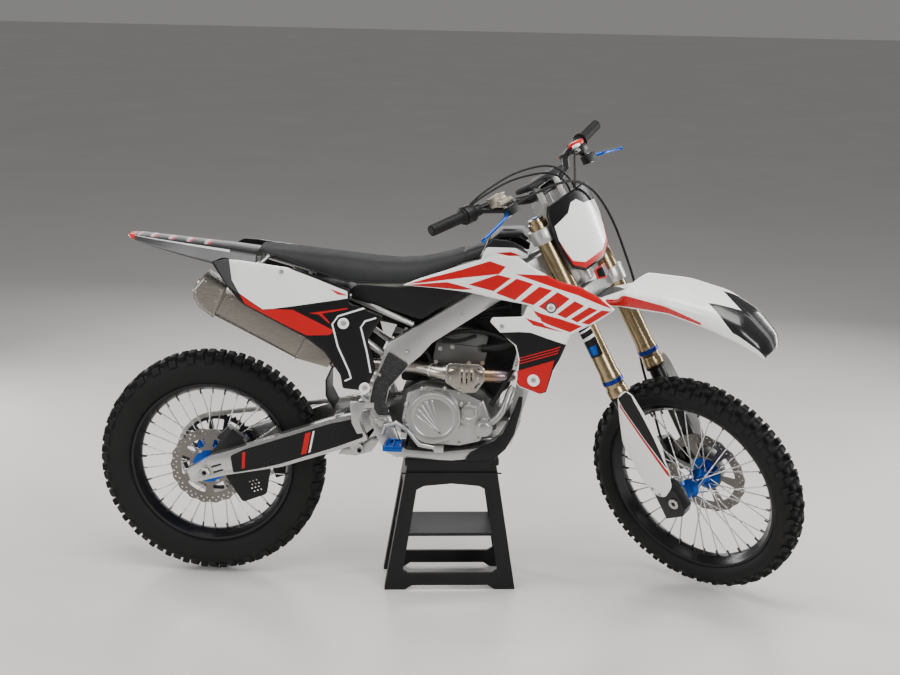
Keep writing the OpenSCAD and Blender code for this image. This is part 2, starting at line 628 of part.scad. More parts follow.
// upper wing and lower panel of the right shroud
shroud_plan = [[-130, -118], [60, -130], [210, -160], [330, -186], [520, -192]];
shroud_wing = [[-116, 962], [-67, 984], [17, 1014], [99, 1044], [154, 1065], [218, 1065],
    [265, 1036], [338, 1003], [404, 987], [460, 958], [503, 927], [450, 888], [377, 846],
    [300, 868], [253, 927], [170, 936], [82, 950], [-20, 958]];
shroud_low = [[253, 928], [238, 890], [150, 881], [143, 868], [172, 840], [219, 802],
    [229, 762], [222, 694], [232, 680], [295, 661], [312, 668], [339, 748], [378, 847],
    [360, 900]];
module radiator_shrouds() color("#d8242c") pair() {
    panel(shroud_wing, shroud_plan, 4);
    panel(shroud_low, shroud_plan, 4);
    // posts onto the radiator core
    ypin(254, 706, -168, -150 - touch, 18);
    ypin(280, 860, -174, -150 - touch, 18);
}
side_plan = [[-700, -132], [-600, -168], [-420, -172], [-300, -160], [-150, -132]];
side_outline = [[-636, 1035], [-676, 1016], [-628, 950], [-578, 899], [-396, 808], [-339, 763],
    [-293, 694], [-286, 653], [-219, 644], [-190, 712], [-214, 800], [-169, 872], [-268, 912],
    [-264, 952], [-417, 1010]];
module side_panels() color("#e9e9e7") pair() {
    panel(side_outline, side_plan, 4);
    ypin(-286, 914, -156, -tube_y - 9 - touch, 14);
    ypin(-214, 654, -142, -frame_w / 2 - touch, 18);
}
function fender_row(x, top, edge, half, side_y) = [[x, -half, edge], [x, -half * 0.86, edge + 8],
    [x, -side_y, (top + edge) / 2 + 10], [x, -side_y * 0.6, top], [x, side_y * 0.6, top],
    [x, side_y, (top + edge) / 2 + 10], [x, half * 0.86, edge + 8], [x, half, edge]];
module rear_fender() color("#1c1c1e") {
    sheet([fender_row(-948, 1073, 1069, 56, 44), fender_row(-870, 1067, 1046, 70, 52),
        fender_row(-740, 1056, 1014, 84, 60), fender_row(-640, 1048, 995, 100, 66),
        fender_row(-556, 1038, 980, 108, 70)], [0, 0, -4]);
}
module mud_flap() color("#18181a")
    sheet([for (r = [[-318, 64, 851], [-330, 64, 700], [-352, 66, 650], [-352, 62, 600],
        [-330, 56, 560]]) [[r.x, r.y, r.z], [r.x, -r.y, r.z]]], [5, 0, 0]);
module engine_guard() color("#161617") pair()
    side([[90, 456], [76, 430], [104, 432], [162, 438], [198, 474], [222, 520], [242, 610],
        [244, 636], [232, 636], [217, 590], [187, 520], [162, 496]],
        -rail_out - 12, -rail_out - touch);

// ---------- paddock stand ----------
module frustum(w0, d0, z0, w1, d1, z1) hull() {
    translate([-w0 / 2, -d0 / 2, z0]) cube([w0, d0, 1]);
    translate([-w1 / 2, -d1 / 2, z1 - 1]) cube([w1, d1, 1]);
}
stand_x = 24;               // centre of the stand along the machine
stand_wall = 12;
cap_z = stand_h - 16;
shelf_z = 182;              // top of the shelf inside the stand
// half width of the stand's tapering body at a height
function half_at(z) = (stand_w + (stand_top_w - stand_w) * z / cap_z) / 2;
module paddock_stand() color("#19191b") translate([stand_x, 0, 0]) rotate(stand_yaw) {
    w0 = stand_w;
    w1 = stand_top_w;
    difference() {
        union() {
            frustum(w0, stand_d, 0, w1, stand_d, cap_z);
            translate([-w1 / 2 - 7, -stand_d / 2 - 5, cap_z - 2])
                cube([w1 + 14, stand_d + 10, 18]);
        }
        frustum(w0 - 2 * stand_wall, stand_d - 2 * stand_wall, -1,
            w1 - 2 * stand_wall, stand_d - 2 * stand_wall, cap_z - 6);
        // the open frame of each long side
        side([[-half_at(335) + 40, 322], [-half_at(335) + 62, 334], [0, 342],
            [half_at(335) - 62, 334], [half_at(335) - 40, 322], [half_at(74) - 44, 64],
            [half_at(74) - 60, 54], [-half_at(74) + 60, 54], [-half_at(74) + 44, 64]],
            -stand_d, stand_d);
        // arches through the end walls
        rotate(90) side([[-52, 330], [52, 330], [stand_d / 2 - 34, 0], [stand_d / 2 - 34, -2],
            [-stand_d / 2 + 34, -2], [-stand_d / 2 + 34, 0]], -stand_w, stand_w);
        // raised feet: the long walls stand on their corners
        side([[-half_at(0) + 60, -2], [half_at(0) - 60, -2], [half_at(0) - 84, 14],
            [-half_at(0) + 84, 14]], -stand_d, stand_d);
    }
    translate([-half_at(shelf_z) + 5, -stand_d / 2 + 3, shelf_z - 9])
        cube([2 * half_at(shelf_z) - 10, stand_d - 6, 9]);
}

// ---------- steered parts ----------
module legs() for (s = [1, -1]) translate([fork_offset, s * fork_y, 0]) children();
module fork_bores(h0, h1, d) legs() translate([0, 0, h0 - 1]) cylinder(h = h1 - h0 + 2, d = d);
lug_h = 74;                 // height of the fork's lower lugs
guard_t = 4;
module clamp_plate(h, reach) difference() {
    translate([0, 0, h[0]]) union() {
        linear_extrude(height = h[1] - h[0]) difference() {
            polygon([[-24, -34], [-8, -fork_y - 20], [24, -fork_y - 38], [48, -fork_y - 30],
                [reach, -46], [reach, 46], [48, fork_y + 30], [24, fork_y + 38],
                [-8, fork_y + 20], [-24, 34]]);
        }
        legs() cylinder(h = h[1] - h[0], d = fork_d + 20);
        cylinder(h = h[1] - h[0], d = 62);
    }
    fork_bores(h[0], h[1], fork_d + play);
}
bar_path = [[12, 0, 997], [12, 72, 997], [8, 130, 1014], [-26, 205, 1042], [-52, 400, 1062]];
function bar_point(i) = i < 4 ? bar_path[i] : bar_path[3] + (bar_path[4] - bar_path[3])
    * (bar_w / 2 - bar_path[3].y) / (bar_path[4].y - bar_path[3].y);
bar_end = bar_point(4);
bar_dir = (bar_end - bar_path[3]) / norm(bar_end - bar_path[3]);
mount_y = 46;
module triple_clamps() color("#8f9194") steered() {
    clamp_plate(clamp_low, 40);
    clamp_plate(clamp_top, 36);
    translate([0, 0, clamp_low[1] - 1]) cylinder(h = clamp_top[0] - clamp_low[1] + 2, d = stem_d);
    translate([0, 0, clamp_top[1]]) cylinder(h = 14, d = 34, $fn = 6);
    // bar mounts around the clamped part of the bar
    for (s = [1, -1]) difference() {
        translate([bar_path[0].x - 19, s * mount_y - 13, clamp_top[1] - 0.5])
            cube([38, 26, bar_path[0].z - clamp_top[1] + 20]);
        ypin(bar_path[0].x, bar_path[0].z, s * mount_y - 20, s * mount_y + 20, bar_clamp_d + play);
    }
}
module fork_tubes() color("#b08a4c") steered() legs() {
    difference() {
        union() {
            translate([0, 0, fork_lug]) cylinder(h = lug_h, d = fork_d + 6);
            translate([0, 0, fork_lug + lug_h - 1]) cylinder(h = fork_top - fork_lug - lug_h - 10,
                d = fork_d);
        }
        translate([0, 0, fork_lug - 1]) cylinder(h = 211, d = slider_d + play);
    }
    translate([0, 0, fork_top - 12]) cylinder(h = 12, d = 46, $fn = 6);
}
axle_gap = 2;               // hub spacer to fork lug
lug_out = fork_y + 25;      // outer face of the axle lug
module fork_sliders() color("#2b2b2e") steered() difference() {
    union() {
        legs() translate([0, 0, 30]) cylinder(h = fork_lug + 130, d = slider_d);
        for (s = [1, -1]) {
            y0 = s > 0 ? hub_half + axle_gap : -lug_out;
            y1 = s > 0 ? lug_out : -hub_half - axle_gap;
            side([[0, -46], [0, 64], [60, 64], [axle_offset + 26, 26], [axle_offset + 26, -26],
                [axle_offset + 8, -46]], y0, y1);
        }
    }
    ypin(axle_offset, 0, -200, 200, axle_d + play);
}
module front_axle() color("#b5b8bb") on_front() difference() {
    union() {
        ypin(0, 0, -lug_out - 7, lug_out + 7, axle_d);
        ypin(0, 0, -lug_out - 7, -lug_out, 32);
        ypin(0, 0, lug_out, lug_out + 7, 32);
    }
    ypin(0, 0, -200, 200, axle_bore);
}
guard_outline = [[45, 371], [12, 298], [-19, 223], [-13, 108], [11, 42], [42, 28], [85, 58],
    [117, 194], [107, 312], [100, 366], [82, 384]];
module fork_guards() color("#eeeeec") steered() for (s = [1, -1]) scale([1, s, 1]) {
    // the left guard leaves room for the caliper's hose and is narrower at the front
    side([for (p = guard_outline) [s > 0 ? p.x : p.x * 0.55, p.y]], -lug_out - 9 - guard_t,
        -lug_out - 9);
    side([[8, 26], [58, 26], [58, 56], [8, 56]], -lug_out - 10, -lug_out - touch);
}
function nose_row(e, top, edge, half) = [[e - 16, -half, edge], [e - 6, -half * 0.85, edge + 14],
    [e, -half * 0.45, top - 4], [e, 0, top], [e, half * 0.45, top - 4],
    [e - 6, half * 0.85, edge + 14], [e - 16, half, edge]];
module front_fender() color("#efefed") steered() {
    sheet([nose_row(-50, 644, 634, 46), nose_row(-29, 649.6, 634, 52), nose_row(57, 649.6, 634, 56),
        nose_row(143, 640, 618, 74), nose_row(179, 662, 610, 84), nose_row(315, 612, 560, 86),
        nose_row(425, 550, 486, 82), nose_row(496, 478, 420, 72), nose_row(529, 398, 372, 56),
        nose_row(526, 360, 350, 40)], [-3, 0, -4]);
}
module front_number_plate() color("#f4f4f2") steered() {
    sheet([for (r = [[740, 72, 52], [770, 79, 96], [860, 88, 117], [940, 94, 114], [966, 94, 96]])
        [for (y = [1, 0.75, 0.35, -0.35, -0.75, -1]) [r.y - 15 * pow(abs(y), 2.2), y * r.z,
            r.x]]], [-4, 0, 0]);
    // strut to the upper clamp
    translate([36 + touch, -8, 882]) cube([51, 16, 18]);
}
module handlebar() color("#202022") steered() {
    bar([[bar_path[0].x, -bar_path[1].y, bar_path[0].z],
        [bar_path[0].x, bar_path[1].y, bar_path[0].z]], bar_clamp_d);
    for (s = [1, -1]) scale([1, s, 1]) {
        bar([bar_path[1], bar_path[2], bar_path[3], bar_end], bar_d);
        translate(bar_path[1]) sphere(d = bar_clamp_d);
    }
}
perch_from = bar_end - bar_dir * (grip_len + 51);
lever_pivot = [46, 222, 1006];
module on_grip(back, s) scale([1, s, 1]) along(bar_end - bar_dir * back, bar_end) children();
module grips() color("#2c2c2e") steered() for (s = [1, -1]) on_grip(grip_len, s) difference() {
    union() {
        cylinder(h = grip_len + 3, d = 33);
        cylinder(h = 5, d = 46);
    }
    translate([0, 0, -1]) cylinder(h = grip_len + 1.5, d = bar_d + play);
}
module bar_pad() color("#151516") steered() difference() {
    translate([-26, -88, 1017.5]) cube([76, 176, 22]);
    for (s = [1, -1]) scale([1, s, 1]) rod(bar_path[1], bar_path[2] + (bar_path[2] - bar_path[1]),
        bar_d + 2);
}
module hand_controls() color("#1b1b1c") steered() {
    for (s = [1, -1]) {
        on_grip(grip_len + 34, s) difference() {
            cylinder(h = 32, d = s > 0 ? 32 : 52);
            translate([0, 0, -1]) cylinder(h = 34, d = bar_d + play);
        }
        // lever perch: a ring, an arm and the pivot block
        difference() {
            union() {
                on_grip(grip_len + 62, s) cylinder(h = 22, d = 34);
                scale([1, s, 1]) rod(perch_from, lever_pivot - [0, 22, 0], 16);
                scale([1, s, 1]) translate(lever_pivot + [-12, -42, -10]) cube([26, 42, 24]);
            }
            on_grip(grip_len + 90, s) cylinder(h = 80, d = bar_d + play);
        }
    }
}
module hand_levers() color("#1d54c0") steered() for (s = [1, -1]) scale([1, s, 1])
    translate(lever_pivot + [0, touch, -4]) rotate([-12, 0, 0]) linear_extrude(height = 10)
        polygon([[-8, 0], [12, 0], [22, 34], [14, 96], [2, 128], [6, 138], [-2, 142], [-8, 132],
            [2, 92], [8, 40], [-6, 14]]);
module front_caliper() color("#1a1a1c") steered() difference() {
    union() {
        translate([-88, disc_y_front - 26, 60]) cube([66, 46, 78]);
        side([[-40, 20], [-40, 90], [-1, 90], [-1, 20]], disc_y_front + 8, hub_half + 30);
    }
    translate([axle_offset, disc_y_front - disc_t / 2 - 3, 0]) rotate([-90, 0, 0])
        cylinder(h = disc_t + 6, r = front_disc_r + 6, $fn = 96);
    fork_bores(-40, 400, slider_d + touch * 2);
    translate([axle_offset, 0, 0]) rotate([90, 0, 0]) cylinder(h = 300, r = 60, center = true);
}
hose_route = [[46, -178, 1012], [80, -130, 1016], [108, -50, 1008], [110, 30, 984],
    [100, 96, 925], [86, 132, 830], [66, 146, 720], [40, 148, 590], [-14, 140, 470],
    [-32, 114, 380], [-38, 92, 280], [-46, 76, 200], [-52, 66, 139]];
module brake_hose() color("#141414") steered() hose(hose_route, 8, 2, 8);
cable_a = [[-30, -262, 1072], [4, -210, 1086], [44, -110, 1088], [72, 0, 1056], [68, 60, 985],
    [56, 60, 930], [48, 54, 840]];
cable_b = [[-40, -262, 1066], [-14, -200, 1074], [24, -110, 1072], [64, -10, 1040], [62, 42, 985],
    [52, 46, 925], [46, 42, 840]];
module control_cables() color("#161616") steered() {
    hose(cable_a, 6, 2, 8);
    hose(cable_b, 6, 2, 8);
}

placed() main_frame();
placed() subframe();
placed() frame_guards();
placed() engine();
placed() engine_covers();
placed() radiators();
placed() coolant_pipes();
placed() exhaust_header();
placed() silencer();
placed() swingarm();
placed() pivot_bolt();
placed() rear_axle();
placed() rear_caliper();
placed() rear_disc_guard();
placed() drive_chain();
placed() chain_guide();
placed() shock_linkage();
placed() rear_shock();
placed() footpegs();
placed() brake_pedal();
placed() rear_master_cylinder();
placed() shift_lever();
placed() seat();
placed() fuel_tank();
placed() air_box();
placed() tank_covers();
placed() top_cover();
placed() radiator_shrouds();
placed() side_panels();
placed() rear_fender();
placed() mud_flap();
placed() engine_guard();
translate([0, plane_y, 0]) paddock_stand();
placed() triple_clamps();
placed() fork_tubes();
placed() fork_sliders();
placed() fork_guards();
placed() front_axle();
placed() front_fender();
placed() front_number_plate();
placed() handlebar();
placed() bar_pad();
placed() grips();
placed() hand_controls();
placed() hand_levers();
placed() front_caliper();
placed() brake_hose();
placed() control_cables();
placed() front_tyre();
placed() front_rim();
placed() front_hub();
placed() front_spokes();
placed() front_disc();
placed() rear_tyre();
placed() rear_rim();
placed() rear_hub();
placed() rear_spokes();
placed() rear_disc();
placed() rear_sprocket();
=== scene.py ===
import json
import math

import bmesh
import bpy
import numpy as np
from mathutils import Matrix, Vector
from mathutils.geometry import delaunay_2d_cdt


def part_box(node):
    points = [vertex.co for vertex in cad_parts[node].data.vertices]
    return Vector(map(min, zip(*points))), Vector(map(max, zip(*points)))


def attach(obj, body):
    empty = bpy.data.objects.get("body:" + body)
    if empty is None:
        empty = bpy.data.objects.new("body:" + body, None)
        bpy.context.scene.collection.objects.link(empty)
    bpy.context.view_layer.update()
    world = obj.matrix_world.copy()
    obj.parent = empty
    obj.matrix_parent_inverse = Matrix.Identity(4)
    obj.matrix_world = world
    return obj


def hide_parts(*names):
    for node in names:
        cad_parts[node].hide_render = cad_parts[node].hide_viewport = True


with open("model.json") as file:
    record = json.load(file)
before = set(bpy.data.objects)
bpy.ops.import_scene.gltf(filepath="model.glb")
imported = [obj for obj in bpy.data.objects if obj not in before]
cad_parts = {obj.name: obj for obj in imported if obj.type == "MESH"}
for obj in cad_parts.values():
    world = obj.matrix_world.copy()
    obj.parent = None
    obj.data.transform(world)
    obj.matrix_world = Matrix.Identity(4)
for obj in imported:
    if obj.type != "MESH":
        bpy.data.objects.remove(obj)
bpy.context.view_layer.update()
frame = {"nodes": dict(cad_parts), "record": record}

# ---------- places: machine and steered coordinates, in millimetres ----------
PLANE_Y, DATUM_Z = -13, -9
RAKE, TURN = math.radians(27), math.radians(37)
REAR_AXLE = (-710.65, 364.77)
STEERING_HEAD = (730, 345)
FRONT_AXLE_AHEAD = 55
LEG_AHEAD, LEG_SIDE = 22, 100


def at(x, y, z):
    """A point of the machine: forward, left and up from its own datum."""
    return Vector((x / 1000, (y + PLANE_Y) / 1000, (z + DATUM_Z) / 1000))


def steered(e, y, h):
    """A point of the fork: ahead of the steering axis, left of it, and up along it."""
    x = e * math.cos(TURN) + y * math.sin(TURN)
    across = -e * math.sin(TURN) + y * math.cos(TURN)
    return at(STEERING_HEAD[0] + x * math.cos(RAKE) - h * math.sin(RAKE), across,
              STEERING_HEAD[1] + x * math.sin(RAKE) + h * math.cos(RAKE))


def rear(r, y, t=0):
    """A point of the rear wheel: ahead of its axle, left, and up."""
    return at(REAR_AXLE[0] + r, y, REAR_AXLE[1] + t)


def front(r, y, t=0):
    """A point of the front wheel, in the same way, turned with the fork."""
    return steered(FRONT_AXLE_AHEAD + r, y, t)


def frame_of(place):
    """The 4x4 matrix that takes millimetres in a local frame to their place."""
    o = place(0, 0, 0)
    cols = [(place(*(1000 * Vector(a))) - o) for a in ((1, 0, 0), (0, 1, 0), (0, 0, 1))]
    return Matrix([[cols[j][i] / 1000 for j in range(3)] + [o[i]] for i in range(3)] + [[0, 0, 0, 1]])


PLACES = {"machine": at, "steered": steered, "rear": rear, "front": front}
MATRICES = {name: frame_of(p) for name, p in PLACES.items()}


# ---------- shader maths ----------
class Val:
    """A shader socket or a number, with arithmetic that adds Math nodes."""

    def __init__(self, shader, socket):
        self.shader, self.socket = shader, socket

    def _math(self, operation, *others, flip=False):
        values = [self, *others]
        if flip:
            values.reverse()
        return self.shader.node("ShaderNodeMath", {"operation": operation},
                                {i: v for i, v in enumerate(values)})

    def __add__(self, o): return self._math("ADD", o)
    def __radd__(self, o): return self._math("ADD", o)
    def __sub__(self, o): return self._math("SUBTRACT", o)
    def __rsub__(self, o): return self._math("SUBTRACT", o, flip=True)
    def __mul__(self, o): return self._math("MULTIPLY", o)
    def __rmul__(self, o): return self._math("MULTIPLY", o)
    def __truediv__(self, o): return self._math("DIVIDE", o)
    def __gt__(self, o): return self._math("GREATER_THAN", o)
    def __lt__(self, o): return self._math("LESS_THAN", o)
    def low(self, o): return self._math("MINIMUM", o)
    def fract(self): return self._math("FRACT")
    def away(self): return self._math("ABSOLUTE")
    def sine(self): return self._math("SINE")
    def power(self, o): return self._math("POWER", o)


class Shader:
    """One material under construction."""

    def __init__(self, name):
        self.mat = bpy.data.materials.new(name)
        self.mat.use_nodes = True
        self.tree = self.mat.node_tree
        self.bsdf = self.tree.nodes["Principled BSDF"]

    def node(self, kind, settings=None, values=None, out=0):
        n = self.tree.nodes.new(kind)
        for key, value in (settings or {}).items():
            if key == "stops":
                ramp = n.color_ramp
                while len(ramp.elements) < len(value):
                    ramp.elements.new(0.5)
                for element, (place, colour) in zip(ramp.elements, value):
                    element.position, element.color = place, (*colour, 1)
            else:
                setattr(n, key, value)
        for key, value in (values or {}).items():
            self.feed(n.inputs[key], value)
        return Val(self, n.outputs[out])

    def feed(self, socket, value):
        if isinstance(value, Val):
            self.tree.links.new(value.socket, socket)
        elif isinstance(value, (tuple, list)) and socket.type == "RGBA":
            socket.default_value = (*value, 1)
        else:
            socket.default_value = value

    def set(self, **values):
        for key, value in values.items():
            self.feed(self.bsdf.inputs[key.replace("_", " ")], value)
        return self

    def coords(self, scale=1.0):
        """Object coordinates, in metres times scale, as a vector."""
        point = self.node("ShaderNodeTexCoord", out=3)
        return self.node("ShaderNodeMapping", None, {"Vector": point, "Scale": (scale,) * 3
                         if isinstance(scale, (int, float)) else scale})

    def xyz(self):
        """The three object coordinates, in metres."""
        n = self.tree.nodes.new("ShaderNodeSeparateXYZ")
        self.feed(n.inputs[0], self.node("ShaderNodeTexCoord", out=3))
        return [Val(self, o) for o in n.outputs]

    def uv(self):
        """How far along and across the piece, from 0 to 1."""
        n = self.tree.nodes.new("ShaderNodeSeparateXYZ")
        self.feed(n.inputs[0], self.node("ShaderNodeUVMap"))
        return Val(self, n.outputs[0]), Val(self, n.outputs[1])

    def noise(self, scale, detail=3.0, stretch=None):
        vector = self.coords(stretch if stretch else 1.0)
        return self.node("ShaderNodeTexNoise", None,
                         {"Vector": vector, "Scale": scale, "Detail": detail})

    def cells(self, scale, feature="F1"):
        return self.node("ShaderNodeTexVoronoi", {"feature": feature},
                         {"Vector": self.coords(), "Scale": scale})

    def mix(self, factor, a, b):
        n = self.tree.nodes.new("ShaderNodeMix")
        n.data_type = "RGBA"
        for key, value in ((0, factor), (6, a), (7, b)):
            self.feed(n.inputs[key], value)
        return Val(self, n.outputs[2])

    def bump(self, height, distance):
        self.set(Normal=self.node("ShaderNodeBump", None, {"Height": height, "Distance": distance}))
        return self


ROUGHNESS_SPREAD = 0.06
RED = (0.46, 0.0008, 0.003)
FADED_RED = (0.4, 0.0008, 0.003)
PALE = (0.5, 0.5, 0.5)


def finish(name, colour, rough, metal=0.0, grain=(0, 0), wear=0.12, streak=None, coat=0.0, shine=0.5):
    """A general finish: colour with slight unevenness, roughness variation and a fine bump."""
    s = Shader(name)
    patch = s.noise(9, 4, streak)
    fine = s.noise(160, 2, streak)
    dark = tuple(c * (1 - wear) for c in colour)
    light = tuple(min(1, c * (1 + wear) + 0.002) for c in colour)
    s.set(Base_Color=s.mix(patch, dark, light), Metallic=metal,
          Roughness=rough - ROUGHNESS_SPREAD + (patch * 0.5 + fine * 0.5) * (2 * ROUGHNESS_SPREAD),
          Specular_IOR_Level=shine)
    if coat:
        s.set(Coat_Weight=coat, Coat_Roughness=0.08)
    if grain[0]:
        s.bump(s.noise(grain[0], 3, streak), grain[1])
    return s


FINISH = {
    "tyre": finish("tyre rubber", (0.0075, 0.0075, 0.0075), 0.66, grain=(420, 0.0005), wear=0.35,
                  shine=0.22),
    "rim": finish("black anodised rim", (0.007, 0.007, 0.008), 0.24, 0.3, grain=(700, 0.00005)),
    "steel": finish("spoke steel", (0.62, 0.62, 0.61), 0.26, 1.0, grain=(900, 0.00004)),
    "nipple": finish("dark nipple", (0.05, 0.05, 0.055), 0.35, 0.9, grain=(900, 0.00004)),
    "blue": finish("blue anodised", (0.01, 0.085, 0.42), 0.3, 0.9, grain=(600, 0.00004)),
    "disc": finish("ground disc steel", (0.2, 0.185, 0.17), 0.36, 1.0, grain=(500, 0.00008), wear=0.3),
    "silver": finish("satin aluminium", (0.5, 0.5, 0.49), 0.34, 0.9, grain=(520, 0.0001), wear=0.08),
    "arm": finish("brushed arm aluminium", (0.52, 0.52, 0.51), 0.26, 0.9, grain=(420, 0.0001), wear=0.1,
                  streak=(0.2, 1, 2.2)),
    "cast": finish("cast engine metal", (0.12, 0.12, 0.118), 0.46, 0.8, grain=(620, 0.0004), wear=0.25),
    "cover": finish("blasted engine cover", (0.4, 0.4, 0.39), 0.33, 0.9, grain=(680, 0.00018), wear=0.1),
    "bolt": finish("zinc bolt", (0.5, 0.49, 0.46), 0.32, 0.95, grain=(700, 0.00005)),
    "darkmetal": finish("black anodised metal", (0.008, 0.008, 0.009), 0.34, 0.3, grain=(500, 0.0001)),
    "plastic": finish("black moulded plastic", (0.0065, 0.0065, 0.007), 0.42, grain=(820, 0.00025), wear=0.3,
                  shine=0.25),
    "stand": finish("stand plastic", (0.006, 0.006, 0.0065), 0.46, grain=(520, 0.0004), wear=0.5,
                  shine=0.25),
    "white": finish("white plastic", (0.86, 0.86, 0.85), 0.25, grain=(90, 0.00006), wear=0.02, coat=0.4),
    "red": finish("red graphic", RED, 0.32, grain=(90, 0.00006), wear=0.08, shine=0.35),
    "black": finish("black graphic", (0.005, 0.005, 0.0055), 0.26, grain=(90, 0.00006), wear=0.25,
                  shine=0.25),
    "grey": finish("grey plastic", (0.045, 0.046, 0.048), 0.4, grain=(700, 0.0002), wear=0.15,
                  shine=0.35),
    "gold": finish("gold anodised fork", (0.34, 0.26, 0.15), 0.26, 0.95, grain=(480, 0.00006), wear=0.1),
    "hose": finish("hose rubber", (0.006, 0.006, 0.006), 0.5, grain=(600, 0.0002), wear=0.3,
                  shine=0.25),
    "tank": finish("natural tank plastic", (0.5, 0.5, 0.46), 0.45, grain=(300, 0.0002)),
    "ano_blue_band": finish("blue band", (0.01, 0.03, 0.22), 0.28, 0.85, grain=(600, 0.00004)),
    "perch": finish("warm cast master cylinder", (0.42, 0.38, 0.31), 0.38, 0.85, grain=(500, 0.0001)),
}
MAT = {key: s.mat for key, s in FINISH.items()}


def frame_grip():
    """Black guard moulded with rows of small scales, with painted shade darkening the grooves between them."""
    s = Shader("scaled frame grip")
    edge = s.cells(50, "DISTANCE_TO_EDGE")
    # colour goes darker towards each scale's edge: painted shade in the grooves
    s.set(Base_Color=s.mix(edge * 4, (0.003, 0.003, 0.003), (0.014, 0.014, 0.015)), Roughness=0.5)
    s.bump(edge.low(0.12), 0.012)
    return s.mat


def heat_tinted():
    """Titanium that goes from straw and bronze near the head to grey further back."""
    s = Shader("heat tinted titanium")
    x = s.xyz()[0]
    along = (x - 0.02) * 4.2
    tint = s.node("ShaderNodeValToRGB", {"stops": [(0.0, (0.40, 0.37, 0.33)), (0.35, (0.42, 0.33, 0.22)),
                  (0.62, (0.34, 0.22, 0.13)), (0.85, (0.22, 0.17, 0.2)), (1.0, (0.3, 0.27, 0.26))]},
                  {0: along + s.noise(14) * 0.3})
    s.set(Base_Color=tint, Metallic=1.0, Roughness=0.22 + s.noise(60) * 0.14)
    return s.bump(s.noise(500, 2), 0.00008).mat


def brushed_titanium(name, colour):
    """Dull titanium sheet, brushed along the silencer."""
    s = Shader(name)
    brush = s.noise(240, 3, (0.16, 3.5, 1.8))
    s.set(Base_Color=s.mix(s.noise(7, 3), tuple(c * 0.86 for c in colour), colour), Metallic=1.0,
          Roughness=0.16 + brush * 0.24)
    return s.bump(brush, 0.0002).mat


def gripper_cover():
    """Seat cover: fine pimples on the top, smoother grained sides."""
    s = Shader("gripper seat cover")
    pimple = s.cells(430)
    wide = s.noise(6, 4)
    s.set(Base_Color=s.mix(wide, (0.008, 0.008, 0.009), (0.024, 0.025, 0.027)),
          Roughness=0.58 + s.noise(40) * 0.22, Specular_IOR_Level=0.3)
    return s.bump(pimple * -1 + s.noise(30, 3) * 0.7, 0.0007).mat


def front_cover():
    """Smooth grained cover: the front of the seat, its piping and the bar pad."""
    s = Shader("smooth seat front")
    s.set(Base_Color=s.mix(s.noise(8, 4), (0.006, 0.006, 0.0065), (0.014, 0.014, 0.015)),
          Roughness=0.46 + s.noise(50) * 0.2, Specular_IOR_Level=0.3)
    return s.bump(s.noise(420, 3), 0.0004).mat


def carbon_look():
    """Dark grey side of the rear fender, with a faint weave."""
    s = Shader("dark woven graphic")
    x, _, z = s.xyz()
    weave = ((x + z) * 900).sine() * ((x - z) * 900).sine()
    s.set(Base_Color=s.mix(weave * 0.5 + 0.5, (0.012, 0.012, 0.013), (0.035, 0.035, 0.037)), Roughness=0.34,
          Coat_Weight=0.4)
    return s.bump(weave, 0.00006).mat


MAT.update(grip=frame_grip(), header=heat_tinted(), can=brushed_titanium("brushed titanium can",
           (0.27, 0.25, 0.22)), cap=brushed_titanium("lighter end cap", (0.36, 0.335, 0.30)),
           seat=gripper_cover(), seat_front=front_cover(), carbon=carbon_look())


def front_fender_print():
    """White shell with a pointed red stripe low on each side, a black pointed tip and a grey saddle."""
    s = Shader("front fender print")
    u, v = s.uv()
    across = (v - 0.5).away() * 2
    stripe = (u > 0.2) * (u < 0.66) * (across > 0.70 + (u - 0.2) * 0.5) * (across < 0.97)
    tip = (u > 0.68 + ((across - 0.42).away()) * 0.28) * (across < 0.86)
    edge = (u > 0.655 + ((across - 0.42).away()) * 0.28) * (across < 0.9)
    ring = (u > 0.74 + ((across - 0.3).away()) * 0.35) * (across < 0.10)
    saddle = (u < 0.25 - across * 0.16) * (across < 0.8)
    base = s.mix(s.noise(9, 4), (0.84, 0.84, 0.83), (0.87, 0.87, 0.86))
    colour = s.mix(stripe, base, RED)
    colour = s.mix(edge * (1 - tip) * (u > 0.78), colour, (0.86, 0.86, 0.85))
    colour = s.mix(tip, colour, (0.006, 0.006, 0.0065))
    colour = s.mix(ring, colour, (0.1, 0.1, 0.1))
    colour = s.mix(saddle, colour, (0.03, 0.03, 0.032))
    s.set(Base_Color=colour, Roughness=0.22 + s.noise(60) * 0.12 + saddle * 0.15, Coat_Weight=0.4 - saddle * 0.3)
    return s.bump(s.noise(90, 3), 0.00006).mat


def rear_fender_print():
    """Black tail with a red tip, thin pale side lines and small pale bars along its crown."""
    s = Shader("rear fender print")
    u, v = s.uv()
    across = (v - 0.5).away() * 2
    tip = u < 0.15 + (across - 0.3).away() * 0.05
    line = (across > 0.60) * (across < 0.66) * (u > 0.06) * (u < 0.8)
    bars = ((u * 9).fract() > 0.62 + across * 0.2) * (across < 0.45) * (u > 0.14) * (u < 0.72)
    red_bars = ((u * 9).fract() > 0.86) * (across < 0.45) * (u > 0.14) * (u < 0.72)
    flank = across > 0.66
    weave = s.noise(240, 2)
    colour = s.mix(flank, (0.007, 0.007, 0.0075), (0.03, 0.03, 0.032))
    colour = s.mix(bars * 0.75, colour, PALE)
    colour = s.mix(red_bars, colour, FADED_RED)
    colour = s.mix(line, colour, PALE)
    colour = s.mix(tip, colour, RED)
    s.set(Base_Color=colour, Roughness=0.3 + weave * 0.14)
    return s.bump(weave, 0.0001).mat


MAT.update(front_fender=front_fender_print(), rear_fender=rear_fender_print())


